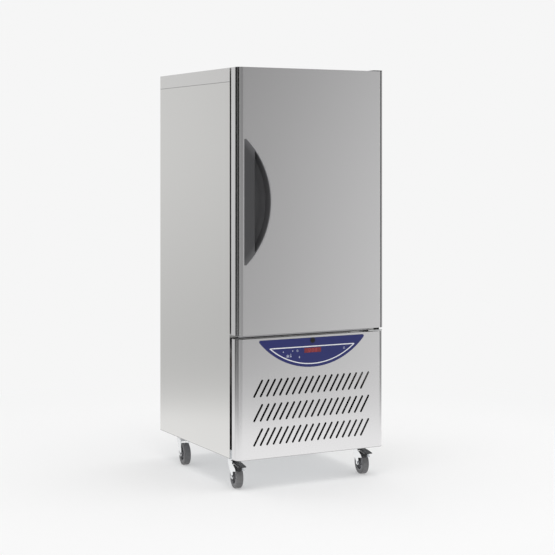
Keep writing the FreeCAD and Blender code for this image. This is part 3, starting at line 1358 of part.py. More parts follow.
side_panel("side_panel_left", from_left)
side_panel("side_panel_right", from_right)
top_cap()
rear_panel()
rear_grille()
base_tray()
machine_deck()
breaker_strips()
insulation()
chamber_liner()
service_panel()
fascia()
display_window()
controller()
lock()
door_skin()
door_foam()
door_liner()
door_gasket()
handle_insert()
door_bushes()
hinge_top()
hinge_bottom()
hinge_screws()
castor_tops()
for tag, (place_x, place_y) in zip(("fl", "fr", "rl", "rr"), castor_places()):
    at_front = tag in ("fl", "fr")
    fork(f"castor_fork_{tag}", place_x, place_y, at_front)
    wheel(tag, place_x, place_y)
    if at_front:
        pedal(f"brake_pedal_{tag}", place_x, place_y)
fan_plate()
for name, (place_x, place_z) in zip(("lower", "upper"), evaporator_fan_places()):
    fan(f"evaporator_fan_{name}", place_x, fan_plate_front + skin, place_z)
fan("condenser_fan", *CONDENSER_FAN)
fan_motors()
evaporator()
shelf_racks()
wire_shelves()
condenser()
compressor()
receiver()
filter_drier()
refrigerant_pipes()
electrical_box()
cable_gland()
doc.recompute()

for item in doc.Objects:
    if "Invalid" in item.State or "Error" in item.State:
        raise ValueError(f"{item.Label} failed: {item.State}")
for node in nodes:
    if node.Shape.isNull() or not node.Shape.isValid():
        raise ValueError(f"{node.Label} has no valid shape")
for node in nodes:
    node.Shape.exportStep(f"parts/{node.Label}.step")
print(len(nodes), "sub-parts written")
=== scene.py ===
# %% [markdown]
# # A reach-in blast chiller
# This lesson dresses a finished CAD model of a blast chiller for a studio photograph. The CAD model gives
# every sheet, castor and hinge its true size, so here we only choose a camera, lights and finishes, and
# model the few thin things that a drawing leaves out: the gasket's folds, an edge strip and the rivets.
# The first cell loads the model. All lengths are in metres, and the floor is at zero.

# %% Load the model
import math
import bpy
from mathutils import Matrix, Vector


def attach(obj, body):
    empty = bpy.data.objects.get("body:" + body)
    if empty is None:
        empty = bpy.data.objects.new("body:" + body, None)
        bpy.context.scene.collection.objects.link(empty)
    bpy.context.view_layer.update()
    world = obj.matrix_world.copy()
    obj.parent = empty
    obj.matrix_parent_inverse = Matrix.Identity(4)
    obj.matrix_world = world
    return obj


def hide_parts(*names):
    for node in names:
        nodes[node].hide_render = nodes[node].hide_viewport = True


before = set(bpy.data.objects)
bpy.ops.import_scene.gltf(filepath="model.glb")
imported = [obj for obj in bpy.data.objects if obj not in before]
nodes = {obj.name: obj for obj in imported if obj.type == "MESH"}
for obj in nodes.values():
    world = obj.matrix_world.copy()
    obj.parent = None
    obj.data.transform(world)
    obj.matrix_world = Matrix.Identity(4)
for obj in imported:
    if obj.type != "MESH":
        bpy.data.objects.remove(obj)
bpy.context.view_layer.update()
bpy.ops.object.select_all(action="DESELECT")

# %% [markdown]
# The drawing measures from the cabinet's own corner: its left side, the front of its door and the underside
# of its body, in millimetres. One small function turns such a place into a point in the scene.

# %% Places from the drawing
WIDTH, DEPTH, CASTOR_HEIGHT = 750.0, 855.0, 134.0
MIDDLE = WIDTH / 2


def at(x, y, z):
    """A point of the drawing, in millimetres, as a point in the scene."""
    return Vector(((x - WIDTH / 2) / 1000, (y - DEPTH / 2) / 1000, (z + CASTOR_HEIGHT) / 1000))


print("The door's lower left corner is at", [round(v, 4) for v in at(0, 0, 547)])

# %% [markdown]
# ## The camera
# The photograph was taken with a long lens held level, from the left and a little below the cabinet's top.
# Upright edges stay parallel in it, so the camera isn't tilted: the frame is moved down with the lens's
# shift instead, just as an architect's camera does it.

# %% Camera
camera_data = bpy.data.cameras.new("camera")
camera_data.lens = 94.05
camera_data.sensor_width = 36.0
camera_data.shift_y = -0.2118
camera_data.clip_end = 100.0
camera = bpy.data.objects.new("camera", camera_data)
bpy.context.scene.collection.objects.link(camera)
camera.location = (-3.1589, -6.0957, 1.4493)
camera.rotation_euler = (math.radians(90.0), 0.0, math.radians(-27.73))
bpy.context.scene.camera = camera
bpy.context.scene.view_settings.view_transform = "Standard"
print("Camera", round((camera.location - at(MIDDLE, 0, 900)).length, 2), "m from the door")

# %% [markdown]
# ## Writing shaders as sums
# A finish is a small network of nodes. Drawing one by hand is slow, and a long list of links is hard to read.
# Here one class wraps a socket, so that `1 - mask * 0.2` adds its own Math nodes, and one method makes any
# other node from its type, its settings and its inputs.

# %% A socket that can be added and multiplied
class Value:
    """An output socket, with Python's operators."""

    def __init__(self, maker, socket):
        self.maker = maker
        self.socket = socket

    def maths(self, operation, first, *others):
        return self.maker.node("ShaderNodeMath", {"operation": operation}, first, *others)

    def __add__(self, other):
        return self.maths("ADD", self, other)

    __radd__ = __add__

    def __sub__(self, other):
        return self.maths("SUBTRACT", self, other)

    def __rsub__(self, other):
        return self.maths("SUBTRACT", other, self)

    def __mul__(self, other):
        return self.maths("MULTIPLY", self, other)

    __rmul__ = __mul__

    def __truediv__(self, other):
        return self.maths("DIVIDE", self, other)

    def __lt__(self, other):
        return self.maths("LESS_THAN", self, other)

    def __gt__(self, other):
        return self.maths("GREATER_THAN", self, other)

    def __abs__(self):
        return self.maths("ABSOLUTE", self)

    def root(self):
        return self.maths("SQRT", self)

    def between(self, least, most):
        return self.maths("MINIMUM", self.maths("MAXIMUM", self, least), most)

    def clamped(self):
        return self.between(0.0, 1.0)


class Network:
    """The node tree of one material or of the world."""

    def __init__(self, tree):
        self.tree = tree
        tree.nodes.clear()

    def node(self, kind, settings=None, *inputs, out=0, **named):
        """Add a node. Its settings come first, then its inputs, in order or by name."""
        made = self.tree.nodes.new(kind)
        for name, setting in (settings or {}).items():
            if name == "stops":
                self.set_stops(made.color_ramp, setting)
            else:
                setattr(made, name, setting)
        for index, value in enumerate(inputs):
            self.feed(made.inputs[index], value)
        for name, value in named.items():
            self.feed(made.inputs[name.replace("_", " ")], value)
        return Value(self, made.outputs[out]) if made.outputs else made

    def feed(self, socket, value):
        if isinstance(value, Value):
            self.tree.links.new(value.socket, socket)
        else:
            socket.default_value = value

    def set_stops(self, ramp, stops):
        while len(ramp.elements) < len(stops):
            ramp.elements.new(1.0)
        for element, (place, grey) in zip(ramp.elements, stops):
            element.position = place
            element.color = (grey, grey, grey, 1.0)

    def place(self):
        """The point being shaded, on the object's own axes, as x, y and z."""
        point = self.node("ShaderNodeTexCoord", None, out=3)
        return point, *(self.node("ShaderNodeSeparateXYZ", None, point, out=axis) for axis in range(3))

    def stretched_noise(self, point, stretch, detail=3.0, roughness=0.6):
        """Noise that is drawn out along the axes by a different scale on each."""
        mapped = self.node("ShaderNodeMapping", None, Vector=point, Scale=stretch)
        return self.node(
            "ShaderNodeTexNoise", None, Vector=mapped, Scale=1.0, Detail=detail, Roughness=roughness)


print("Shader tools ready")

# %% [markdown]
# ## The studio
# Polished steel has no colour of its own: it shows the room. In the photograph the door mirrors a wall that
# grows brighter to the right, and the cabinet's side mirrors the bright wall behind. Photographers stand
# black cards beside polished metal, which draw its rounded edges as thin dark lines. So the world is painted
# round the compass, for reflections only, with three such cards, tall and hung a little above the floor. The
# camera itself sees a plain pale wall, and matt things are lit evenly from all round.

# %% World
world = bpy.data.worlds.new("studio")
world.use_nodes = True
bpy.context.scene.world = world
studio = Network(world.node_tree)
PALE = 0.921
CARD_FOOT, CARD_FADE = -0.215, 0.07
NEAR_HORIZON = 0.2
FALL_ALL_ROUND, FALL_IN_FRONT = 0.5, 2.2
EVEN_LIGHT = 0.78


def compass(*marks):
    """Ramp stops from (degrees from the front towards the left, brightness)."""
    return [((degrees + 180) / 360, grey) for degrees, grey in marks]


heading = studio.node("ShaderNodeTexCoord", None, out=0)
east, north, height = (studio.node("ShaderNodeSeparateXYZ", None, heading, out=axis) for axis in range(3))
turned = studio.node("ShaderNodeMath", {"operation": "ARCTAN2"}, 0.0 - east, 0.0 - north)
round_the_room = turned / (2 * math.pi) + 0.5
room = studio.node("ShaderNodeValToRGB", {"stops": compass(
    (-180, 0.76), (-150, 0.60), (-120, 0.45), (-60, 0.45), (-44, 0.70), (-36, 0.92), (-31, 0.68), (-27, 0.42),
    (-22, 0.33), (20, 0.35), (60, 0.45), (125, 0.45), (143, 0.45), (154, 0.83), (180, 0.83))}, round_the_room)
cards = studio.node("ShaderNodeValToRGB", {"stops": compass(
    (-82, 0.0), (-76, 0.9), (-58, 0.9), (-48, 0.0), (46, 0.0), (53, 1.0), (83, 1.0), (87, 0.45), (93, 0.45),
    (97, 1.0), (132, 1.0), (140, 0.5), (146, 0.0))}, round_the_room)
card_height = ((height - CARD_FOOT) / CARD_FADE).clamped()
level = height.between(-NEAR_HORIZON, NEAR_HORIZON)
fall = 1.0 - level * FALL_ALL_ROUND + (level * north).between(-1.0, 0.0) * FALL_IN_FRONT
light = fall * (1.0 - cards * card_height)
sees = studio.node("ShaderNodeLightPath", None, out=0)
mirrors = studio.node("ShaderNodeLightPath", None, out=3)
even = studio.node("ShaderNodeBackground", None, Color=(1.0, 1.0, 1.0, 1.0), Strength=EVEN_LIGHT)
painted = studio.node("ShaderNodeBackground", None, Color=room, Strength=light)
wall = studio.node("ShaderNodeBackground", None, Color=(PALE, PALE, PALE, 1.0), Strength=1.0)
around = studio.node("ShaderNodeMixShader", None, mirrors, even, painted)
seen = studio.node("ShaderNodeMixShader", None, sees, around, wall)
studio.node("ShaderNodeOutputWorld", None, Surface=seen)
print("World has", len(world.node_tree.nodes), "nodes")

# %% [markdown]
# The floor is a wide sheet of white paper that keeps the cabinet's soft shadow. Far from the cabinet it turns
# into the wall's own shade, so that no horizon shows. Steel mirrors it as plain white paper close by, which
# is what makes the lower panel glow towards the bottom, and less and less of it further out or behind.

# %% Floor and soft box
FLOOR_RADIUS, CABINET_EDGE = 14.0, 0.4
FADE_FROM, FADE_OVER, LEAST_FADE = 1.1, 1.6, 0.35
GLOW, GLOW_LEFT_EACH_METRE, GLOW_LOST_BEHIND = 4.6, 0.301, 0.25
bpy.ops.mesh.primitive_circle_add(vertices=96, radius=FLOOR_RADIUS, fill_type="NGON", location=(0, 0, 0))
floor = bpy.context.object
floor.name = "floor"
floor_finish = bpy.data.materials.new("floor")
floor_finish.use_nodes = True
paper = Network(floor_finish.node_tree)
point, x, y, z = paper.place()
away = (x * x + y * y).root()
fade = ((away - FADE_FROM) / FADE_OVER).between(LEAST_FADE, 1.0)
sees = paper.node("ShaderNodeLightPath", None, out=0)
mirrors = paper.node("ShaderNodeLightPath", None, out=3)
matt = paper.node("ShaderNodeBsdfDiffuse", None, Color=(0.90, 0.90, 0.90, 1.0))
lit = paper.node("ShaderNodeEmission", None, Color=(PALE, PALE, PALE, 1.0), Strength=1.0)
mirrored = paper.node("ShaderNodeEmission", None, Color=(1.0, 1.0, 1.0, 1.0), Strength=1.09)
clear = paper.node("ShaderNodeBsdfTransparent")
left_over = paper.node("ShaderNodeMath", {"operation": "POWER"}, GLOW_LEFT_EACH_METRE, away - CABINET_EDGE)
behind = ((y + CABINET_EDGE) / (2 * CABINET_EDGE)).clamped()
near = (left_over * GLOW).between(0.0, 1.0) * (1.0 - behind * GLOW_LOST_BEHIND)
in_steel = paper.node("ShaderNodeMixShader", None, near, clear, mirrored)
plain = paper.node("ShaderNodeMixShader", None, fade * sees, matt, lit)
surface = paper.node("ShaderNodeMixShader", None, mirrors, plain, in_steel)
paper.node("ShaderNodeOutputMaterial", None, Surface=surface)
floor.data.materials.append(floor_finish)


def soft_box(name, place, target, width, height, power):
    """A rectangular lamp that faces a point."""
    lamp = bpy.data.lights.new(name, "AREA")
    lamp.shape = "RECTANGLE"
    lamp.size = width
    lamp.size_y = height
    lamp.energy = power
    holder = bpy.data.objects.new(name, lamp)
    bpy.context.scene.collection.objects.link(holder)
    holder.location = place
    holder.rotation_euler = (Vector(target) - Vector(place)).to_track_quat("-Z", "Y").to_euler()


soft_box("overhead", (0.0, -0.3, 4.2), (0.0, 0.0, 0.0), 4.5, 4.5, 95.0)
print("Floor radius", FLOOR_RADIUS, "m, one soft box overhead")

# %% [markdown]
# ## Brushed stainless steel
# The sheets were drawn through a belt sander, so they carry fine parallel scratches. The scratches spread a
# reflection sideways and break it into faint streaks. A picture of scratches would do, but noise that is
# stretched two hundred and fifty times along the grain gives them at any size, and never repeats.

# %% Metal finishes
def new_finish(name):
    """A material with its network and the usual surface shader to be filled in."""
    material = bpy.data.materials.new(name)
    material.use_nodes = True
    return material, Network(material.node_tree)


def close_finish(network, surface):
    network.node("ShaderNodeOutputMaterial", None, Surface=surface)


def tinted(network, grey, colour):
    """A colour multiplied by a brightness that varies over the surface."""
    mix = network.node("ShaderNodeMix", {"data_type": "RGBA", "blend_type": "MULTIPLY"}, out=2)
    inputs = mix.socket.node.inputs
    network.feed(inputs[0], 1.0)
    network.feed(inputs[6], (*colour, 1.0))
    network.feed(inputs[7], grey)
    return mix


def blended(network, mask, first, second):
    """One colour where the mask is 0 and another where it is 1."""
    mix = network.node("ShaderNodeMix", {"data_type": "RGBA"}, out=2)
    inputs = mix.socket.node.inputs
    network.feed(inputs[0], mask)
    for socket, colour in ((inputs[6], first), (inputs[7], second)):
        network.feed(socket, colour if isinstance(colour, Value) else (*colour, 1.0))
    return mix


def brushed(name, colour, roughness, grain, strength=1.0, joint_and_shade_levels=()):
    """Brushed sheet. grain is the noise scale on each axis. The last argument gives heights of thin dark
    lines: dark joints, and painted shade along a lower edge.
    """
    material, net = new_finish(name)
    point, x, y, z = net.place()
    scratches = net.stretched_noise(point, grain, 4.0, 0.7) - 0.5
    clouds = net.stretched_noise(point, (2.2, 2.2, 1.1), 2.0) - 0.5
    grey = 1.0 + scratches * (0.07 * strength) + clouds * 0.04
    # A thin dark line goes into the colour at each given height: at the seam it is the dark joint, and along
    # the foot it is painted shade under the sheet's lower edge.
    for line_level in joint_and_shade_levels:
        dark_joint_and_shade = abs(z - line_level) < 0.0016
        grey = grey * (1.0 - dark_joint_and_shade * 0.45)
    smear = net.node("ShaderNodeBump", None, Strength=0.03 * strength, Distance=0.0003, Height=scratches)
    surface = net.node(
        "ShaderNodeBsdfPrincipled", None, Base_Color=tinted(net, grey, colour), Metallic=1.0,
        Roughness=roughness + scratches * (0.08 * strength) + clouds * 0.03, Normal=smear)
    close_finish(net, surface)
    return material


UPRIGHT_GRAIN = (1500.0, 1500.0, 6.0)
LEVEL_GRAIN = (6.0, 6.0, 1500.0)
SEAM = at(0, 0, 1660.0).z
# The sheets' lower edge, where a line of painted shade goes into the colour.
FOOT_SHADE_LEVEL = at(0, 0, 0.6).z
steel = brushed("brushed_steel", (0.735, 0.73, 0.735), 0.20, UPRIGHT_GRAIN, 1.0, (FOOT_SHADE_LEVEL,))
side_steel = brushed("side_steel", (0.745, 0.74, 0.725), 0.21, UPRIGHT_GRAIN, 0.7, (SEAM, FOOT_SHADE_LEVEL))
cap_steel = brushed("cap_steel", (0.745, 0.74, 0.73), 0.21, UPRIGHT_GRAIN, 0.7, (SEAM,))
chamber_steel = brushed("chamber_steel", (0.76, 0.76, 0.75), 0.30, LEVEL_GRAIN)
zinc_sheet = brushed("zinc_sheet", (0.60, 0.62, 0.64), 0.42, (9.0, 9.0, 9.0), 2.0)
bright_zinc = brushed("bright_zinc", (0.78, 0.79, 0.80), 0.22, (60.0, 60.0, 60.0), 1.5)
# The condenser coil is nearly black, which paints the shade of the machine space seen through the front
# slots.
dark_coil = brushed("dark_coil", (0.10, 0.10, 0.105), 0.55, (300.0, 300.0, 20.0), 2.0)
fins = brushed("fins", (0.62, 0.63, 0.64), 0.38, (30.0, 30.0, 700.0), 2.0)
bright_wire = brushed("bright_wire", (0.84, 0.84, 0.84), 0.14, (90.0, 90.0, 90.0))
copper = brushed("copper", (0.80, 0.45, 0.30), 0.28, (40.0, 40.0, 40.0))
print("Ten metal finishes")

# %% [markdown]
# ## Plastics, rubber and enamel
# The handle, the gland and the fans are moulded with a fine texture that scatters light. Rubber is duller
# and a little dusty. Each gets its own grain size, since a finish without any grain looks like clay.

# %% Moulded and painted finishes
def moulded(name, colour, roughness, scale=900.0, depth=0.25, coat=0.0, dust=0.0, painted_highlight=None):
    """Moulded plastic, rubber or enamel, with a fine texture and a little unevenness. The last argument, if
    given, makes a mask from the place where a highlight is painted into the colour."""
    material, net = new_finish(name)
    point, x, y, z = net.place()
    texture = net.stretched_noise(point, (scale, scale, scale), 2.0)
    wear = net.stretched_noise(point, (14.0, 14.0, 14.0), 4.0)
    grey = 0.92 + wear * 0.16
    paint = tinted(net, grey, colour)
    if dust:
        paint = blended(net, (wear * 1.4 - 0.5).clamped() * dust, paint, (0.45, 0.44, 0.42))
    # Where the last argument is given, a lighter grey is painted in as a highlight.
    if painted_highlight:
        paint = blended(net, painted_highlight(x, y, z) * (0.7 + wear * 0.3), paint, (0.46, 0.46, 0.47))
    raised = net.node("ShaderNodeBump", None, Strength=depth, Distance=0.0002, Height=texture)
    surface = net.node(
        "ShaderNodeBsdfPrincipled", None, Base_Color=paint, Metallic=0.0, Coat_Weight=coat,
        Roughness=roughness + (texture - 0.5) * 0.12 + (wear - 0.5) * 0.08, Normal=raised)
    close_finish(net, surface)
    return material


HANDLE_ARC = at(-210.4, 0, 1131.0)
HANDLE_RADIUS = 0.3774
# The handle's painted highlight: its width on the bowed edge, its edge on the straight side, and the reach,
# fade and strength of a fainter painted sheen further in.
BOWED_HIGHLIGHT_WIDTH, STRAIGHT_HIGHLIGHT_TO = 0.0032, at(32.2, 0, 0).x
SHEEN_REACH, SHEEN_FADE, SHEEN_LEVEL = 0.034, 0.030, 0.16


def handle_rim(x, y, z):
    """1 on the outer edge of the D, where a highlight is painted, and a fainter painted sheen further in,
    which lightens the shade in the pocket.
    """
    across, up = x - HANDLE_ARC.x, z - HANDLE_ARC.z
    reach = (across * across + up * up).root()
    bowed_highlight = reach > HANDLE_RADIUS - BOWED_HIGHLIGHT_WIDTH
    painted_sheen = ((reach - HANDLE_RADIUS + SHEEN_REACH) / SHEEN_FADE).clamped() * SHEEN_LEVEL
    straight_highlight = x < STRAIGHT_HIGHLIGHT_TO
    return (bowed_highlight + straight_highlight + painted_sheen).clamped()


handle_plastic = moulded("handle_plastic", (0.056, 0.056, 0.059), 0.50, 1500.0, 0.35, painted_highlight=handle_rim)
black_plastic = moulded("black_plastic", (0.022, 0.022, 0.024), 0.40)
grey_plastic = moulded("grey_plastic", (0.30, 0.30, 0.31), 0.50)
nylon = moulded("nylon", (0.80, 0.80, 0.76), 0.45)
gasket_rubber = moulded("gasket_rubber", (0.10, 0.10, 0.105), 0.62, 700.0, 0.3, dust=0.1)
tyre_rubber = moulded("tyre_rubber", (0.14, 0.14, 0.145), 0.60, 500.0, 0.4, dust=0.3)
hub_plastic = moulded("hub_plastic", (0.21, 0.21, 0.22), 0.48)
foam = moulded("foam", (0.78, 0.70, 0.48), 0.90, 300.0, 0.9)
black_enamel = moulded("black_enamel", (0.018, 0.018, 0.020), 0.30, 120.0, 0.15, coat=0.4)
dark_enamel = moulded("dark_enamel", (0.030, 0.030, 0.032), 0.60, 200.0, 0.2)
grey_enamel = moulded("grey_enamel", (0.20, 0.21, 0.22), 0.42, 120.0, 0.15, coat=0.2)
# The upper hinge bracket is nearly black while the lower one is bright zinc: its darkness is painted shade.
dark_hinge_finish = moulded("dark_hinge_finish", (0.028, 0.028, 0.030), 0.55, 300.0, 0.2)
lock_black = moulded("lock_black", (0.006, 0.006, 0.007), 0.50, 600.0, 0.1)
print("Thirteen moulded and painted finishes")

# %% [markdown]
# ## The fascia
# The half-moon fascia is a printed sheet: dark blue, with a white line that follows its own outline, a group
# of touch signs at the left and one at the right. All of it belongs to the print, so it is drawn in the
# material, from the distance to a point or a line. That needs no picture, and stays sharp at any size.

# %% Fascia print
FASCIA_CENTRE = at(MIDDLE, 0, 744.0)
LINE_RADIUS = 0.339
LINE_LEVEL = at(0, 0, 482.0).z
LINE_HALF = 0.0022


class Sign:
    """The plane of the print, measured from one touch sign's centre, in millimetres."""

    def __init__(self, x, z, across, up):
        self.across = (x - at(across, 0, 0).x) * 1000.0
        self.up = (z - at(0, 0, up).z) * 1000.0
        self.reach = (self.across * self.across + self.up * self.up).root()

    def disc(self, radius):
        return self.reach < radius

    def ring(self, radius, half=0.8):
        return abs(self.reach - radius) < half

    def bar(self, length, half, degrees=0.0):
        """A bar through the centre, leaning from the horizontal."""
        turn = math.radians(degrees)
        along = self.across * math.cos(turn) + self.up * math.sin(turn)
        beside = self.up * math.cos(turn) - self.across * math.sin(turn)
        return (abs(along) < length / 2) * (abs(beside) < half)

    def wedge(self, size, way):
        """A triangle that points up (1) or down (-1)."""
        rise = self.up * way
        return (abs(self.across) < (size / 2 - rise) * 0.5) * (rise > -size / 2)


def touch_signs(x, z):
    """Snow star, thermometer, bell, clock, arrows and a start key, added together."""
    star = Sign(x, z, 249.0, 444.0)
    signs = star.bar(17.0, 1.0, 90.0) + star.bar(17.0, 1.0, 30.0) + star.bar(17.0, 1.0, 150.0)
    signs = signs + star.ring(4.2, 0.7)
    signs = signs + Sign(x, z, 264.0, 442.0).disc(3.4) + Sign(x, z, 264.0, 449.0).bar(12.0, 1.3, 90.0)
    signs = signs + Sign(x, z, 226.5, 465.0).wedge(7.0, 1) + Sign(x, z, 273.5, 465.0).wedge(7.0, -1)
    clock = Sign(x, z, 297.5, 466.0)
    signs = signs + clock.ring(4.2) + clock.bar(5.0, 0.6, 60.0)
    bell = Sign(x, z, 307.5, 439.0)
    signs = signs + bell.wedge(8.0, 1) + Sign(x, z, 307.5, 433.5).disc(1.6)
    power = Sign(x, z, 537.5, 465.0)
    return signs + power.ring(4.0) + Sign(x, z, 537.5, 468.5).bar(5.0, 0.8, 90.0)


def fascia_print():
    """Blue print with its white line and signs."""
    material, net = new_finish("fascia_print")
    point, x, y, z = net.place()
    across = x - FASCIA_CENTRE.x
    up = z - FASCIA_CENTRE.z
    from_arc = abs((across * across + up * up).root() - LINE_RADIUS)
    from_chord = abs(z - LINE_LEVEL)
    half_chord = math.sqrt(LINE_RADIUS ** 2 - (FASCIA_CENTRE.z - LINE_LEVEL) ** 2)
    on_arc = (from_arc < LINE_HALF) * (z < LINE_LEVEL)
    on_chord = (from_chord < LINE_HALF) * (abs(across) < half_chord)
    inks = net.stretched_noise(point, (160.0, 160.0, 160.0), 2.0)
    blue = tinted(net, 0.90 + inks * 0.2, (0.010, 0.016, 0.135))
    signed = blended(net, touch_signs(x, z).clamped() * 0.75, blue, (0.55, 0.58, 0.70))
    lined = blended(net, (on_arc + on_chord).clamped(), signed, (0.80, 0.81, 0.84))
    surface = net.node(
        "ShaderNodeBsdfPrincipled", None, Base_Color=lined, Roughness=0.36 + inks * 0.08, Coat_Weight=0.05)
    close_finish(net, surface)
    return material


# %% [markdown]
# The display is a red window. Behind it sit three figures of seven bars each, unlit here, so they only show
# as slightly paler red bars. Three cells side by side repeat one figure: its bars are the places near the
# cell's two upright sides, or near its top, middle or bottom. The bars' own sizes are in millimetres.

# %% Display window
DISPLAY_CENTRE = at(MIDDLE, 0, 465.0)
FIGURE_PITCH, FIGURE_LEAN = 0.0165, 0.12
SIDE_BAR, TOP_BAR, BAR_HALF, SIDE_REACH, SIDE_GAP, TOP_REACH = 4.2, 6.4, 0.9, 5.8, 0.8, 3.6


def window_tint():
    """The red window with three unlit figures."""
    material, net = new_finish("window_tint")
    point, x, y, z = net.place()
    cells = net.stretched_noise(point, (300.0, 300.0, 300.0), 1.0)
    up = (z - DISPLAY_CENTRE.z) * 1000.0
    leaned = x - DISPLAY_CENTRE.x - (z - DISPLAY_CENTRE.z) * FIGURE_LEAN
    wrapped = net.node("ShaderNodeMath", {"operation": "WRAP"}, leaned, FIGURE_PITCH / 2, -FIGURE_PITCH / 2)
    across = abs(wrapped) * 1000.0
    level = abs(up)
    sides = (abs(across - SIDE_BAR) < BAR_HALF) * (level < SIDE_REACH) * (level > SIDE_GAP)
    bars = ((abs(level - TOP_BAR) < BAR_HALF) + (level < BAR_HALF)) * (across < TOP_REACH)
    inside = abs(leaned) < FIGURE_PITCH * 1.5
    figures = (sides + bars).clamped() * inside
    glass = tinted(net, 0.85 + cells * 0.3, (0.185, 0.012, 0.022))
    surface = net.node(
        "ShaderNodeBsdfPrincipled", None, Base_Color=blended(net, figures * 0.8, glass, (0.42, 0.05, 0.06)),
        Roughness=0.20 + cells * 0.05, Coat_Weight=0.3)
    close_finish(net, surface)
    return material


fascia_finish = fascia_print()
window_finish = window_tint()
print("The white line's radius is", LINE_RADIUS, "m")

# %% [markdown]
# ## Finishes on the CAD pieces
# Each CAD piece keeps its mesh and only swaps its material. One table pairs every finish with the pieces
# that wear it, and the last line shows that none was forgotten.

# %% Assign the finishes
wearers = {
    steel: ["door_outer_skin", "front_service_panel", "machine_deck"],
    side_steel: ["side_panel_left", "side_panel_right"],
    cap_steel: ["top_cap"],
    chamber_steel: ["chamber_liner", "door_inner_liner", "evaporator_fan_plate", "shelf_racks", "drip_tray"],
    zinc_sheet: ["rear_panel", "rear_grille", "base_tray"],
    bright_zinc: ["castor_plates", "castor_bolts", "hinge_screws", "hinge_bracket_bottom",
                  "castor_fork_fl", "castor_fork_fr", "castor_fork_rl", "castor_fork_rr"],
    fins: ["evaporator_coil"],
    dark_coil: ["condenser_coil"],
    bright_wire: ["wire_shelves"],
    copper: ["refrigerant_pipes", "filter_drier"],
    handle_plastic: ["handle_insert"],
    black_plastic: ["hinge_cam_bush", "controller_box", "cable_gland", "condenser_fan",
                    "evaporator_fan_upper", "evaporator_fan_lower", "brake_pedal_fl", "brake_pedal_fr"],
    grey_plastic: ["breaker_strips"],
    nylon: ["door_bushes"],
    gasket_rubber: ["door_gasket"],
    tyre_rubber: ["castor_tyre_fl", "castor_tyre_fr", "castor_tyre_rl", "castor_tyre_rr"],
    hub_plastic: ["castor_hub_fl", "castor_hub_fr", "castor_hub_rl", "castor_hub_rr"],
    foam: ["insulation", "door_foam"],
    black_enamel: ["compressor", "liquid_receiver"],
    dark_enamel: ["condenser_shroud"],
    grey_enamel: ["fan_motors", "electrical_box"],
    # The upper bracket's near black is painted shade.
    dark_hinge_finish: ["hinge_bracket_top"],
    lock_black: ["lock_housing", "lock_barrel"],
    fascia_finish: ["control_fascia"],
    window_finish: ["display_window"],
}
bare = set(nodes)
for finish, names in wearers.items():
    for name in names:
        for slot_number in range(len(nodes[name].material_slots)):
            nodes[name].material_slots[slot_number].material = finish
        bare.discard(name)
print("Pieces without a finish:", sorted(bare))

# %% [markdown]
# ## Working in edit mode
# The last few pieces are small parts that a drawing leaves out. Each starts from a primitive and is shaped
# in edit mode. Operators act on what is selected, so one helper selects faces or edges by their direction or
# place, and another closes a piece: its doubles are merged and its normals point out. A primitive's place and
# size go into its mesh at once, so that every later step is in metres.

# %% Helpers for edit mode
MERGE_WITHIN = 0.00001


def start(kind, **settings):
    """Add a primitive with nothing else selected, and enter edit mode with all of it deselected."""
    bpy.ops.object.select_all(action="DESELECT")
    getattr(bpy.ops.mesh, "primitive_" + kind + "_add")(**settings)
    bpy.ops.object.transform_apply(location=True, rotation=True, scale=True)
    bpy.ops.object.mode_set(mode="EDIT")
    bpy.ops.mesh.select_all(action="DESELECT")
    return bpy.context.object


def pick(piece, wanted, kind="FACE"):
    """In edit mode, select exactly the faces, or the edges, that are wanted."""
    bpy.ops.mesh.select_mode(type=kind)
    bpy.ops.mesh.select_all(action="DESELECT")
    bpy.ops.object.mode_set(mode="OBJECT")
    mesh = piece.data
    for element in mesh.polygons if kind == "FACE" else mesh.edges:
        element.select = bool(wanted(mesh, element))
    bpy.ops.object.mode_set(mode="EDIT")


def settle(piece, name, finish):
    """Merge doubles, turn the faces outwards, leave edit mode, and give the piece its name and finish."""
    bpy.ops.mesh.select_all(action="SELECT")
    bpy.ops.mesh.remove_doubles(threshold=MERGE_WITHIN)
    bpy.ops.mesh.normals_make_consistent(inside=False)
    bpy.ops.object.mode_set(mode="OBJECT")
    piece.name = name
    piece.data.name = name
    piece.data.materials.clear()
    piece.data.materials.append(finish)


def copied(piece, name, shift):
    """A copy with its own mesh, moved by shift."""
    twin = piece.copy()
    twin.data = piece.data.copy()
    twin.data.transform(Matrix.Translation(shift))
    twin.name = name
    bpy.context.scene.collection.objects.link(twin)
    return twin


print("Edit mode helpers ready")

# %% [markdown]
# ## The door's lower edge strip
# Under the door's front edge sits a plastic strip that closes the fold of the skin. It is one long extrusion
# with a rounded underside and a groove in its top, which clips to the skin. It could be a curve with a
# profile, but a bar needs no path: a cube is drawn to its length, its top is inset and sunk, and its two
# lower long edges are bevelled in four steps.

# %% Door edge strip
STRIP_LOW, STRIP_HIGH = at(8.0, 1.6, 540.8), at(660.0, 7.6, 546.9)
STRIP_WALL, GROOVE_DEPTH, STRIP_ROUND = 0.0014, 0.0018, 0.0022
strip = start("cube", size=1.0, location=(STRIP_LOW + STRIP_HIGH) / 2, scale=STRIP_HIGH - STRIP_LOW)
pick(strip, lambda mesh, face: face.normal.z > 0.9)
bpy.ops.mesh.inset(thickness=STRIP_WALL)
bpy.ops.mesh.extrude_region_move(TRANSFORM_OT_translate={"value": (0.0, 0.0, -GROOVE_DEPTH)})


def lower_long_edge(mesh, edge):
    """Whether an edge lies on the strip's underside and runs along it."""
    ends = [mesh.vertices[index].co for index in edge.vertices]
    return all(end.z < STRIP_LOW.z + 0.0001 for end in ends) and abs(ends[0].x - ends[1].x) > 0.5


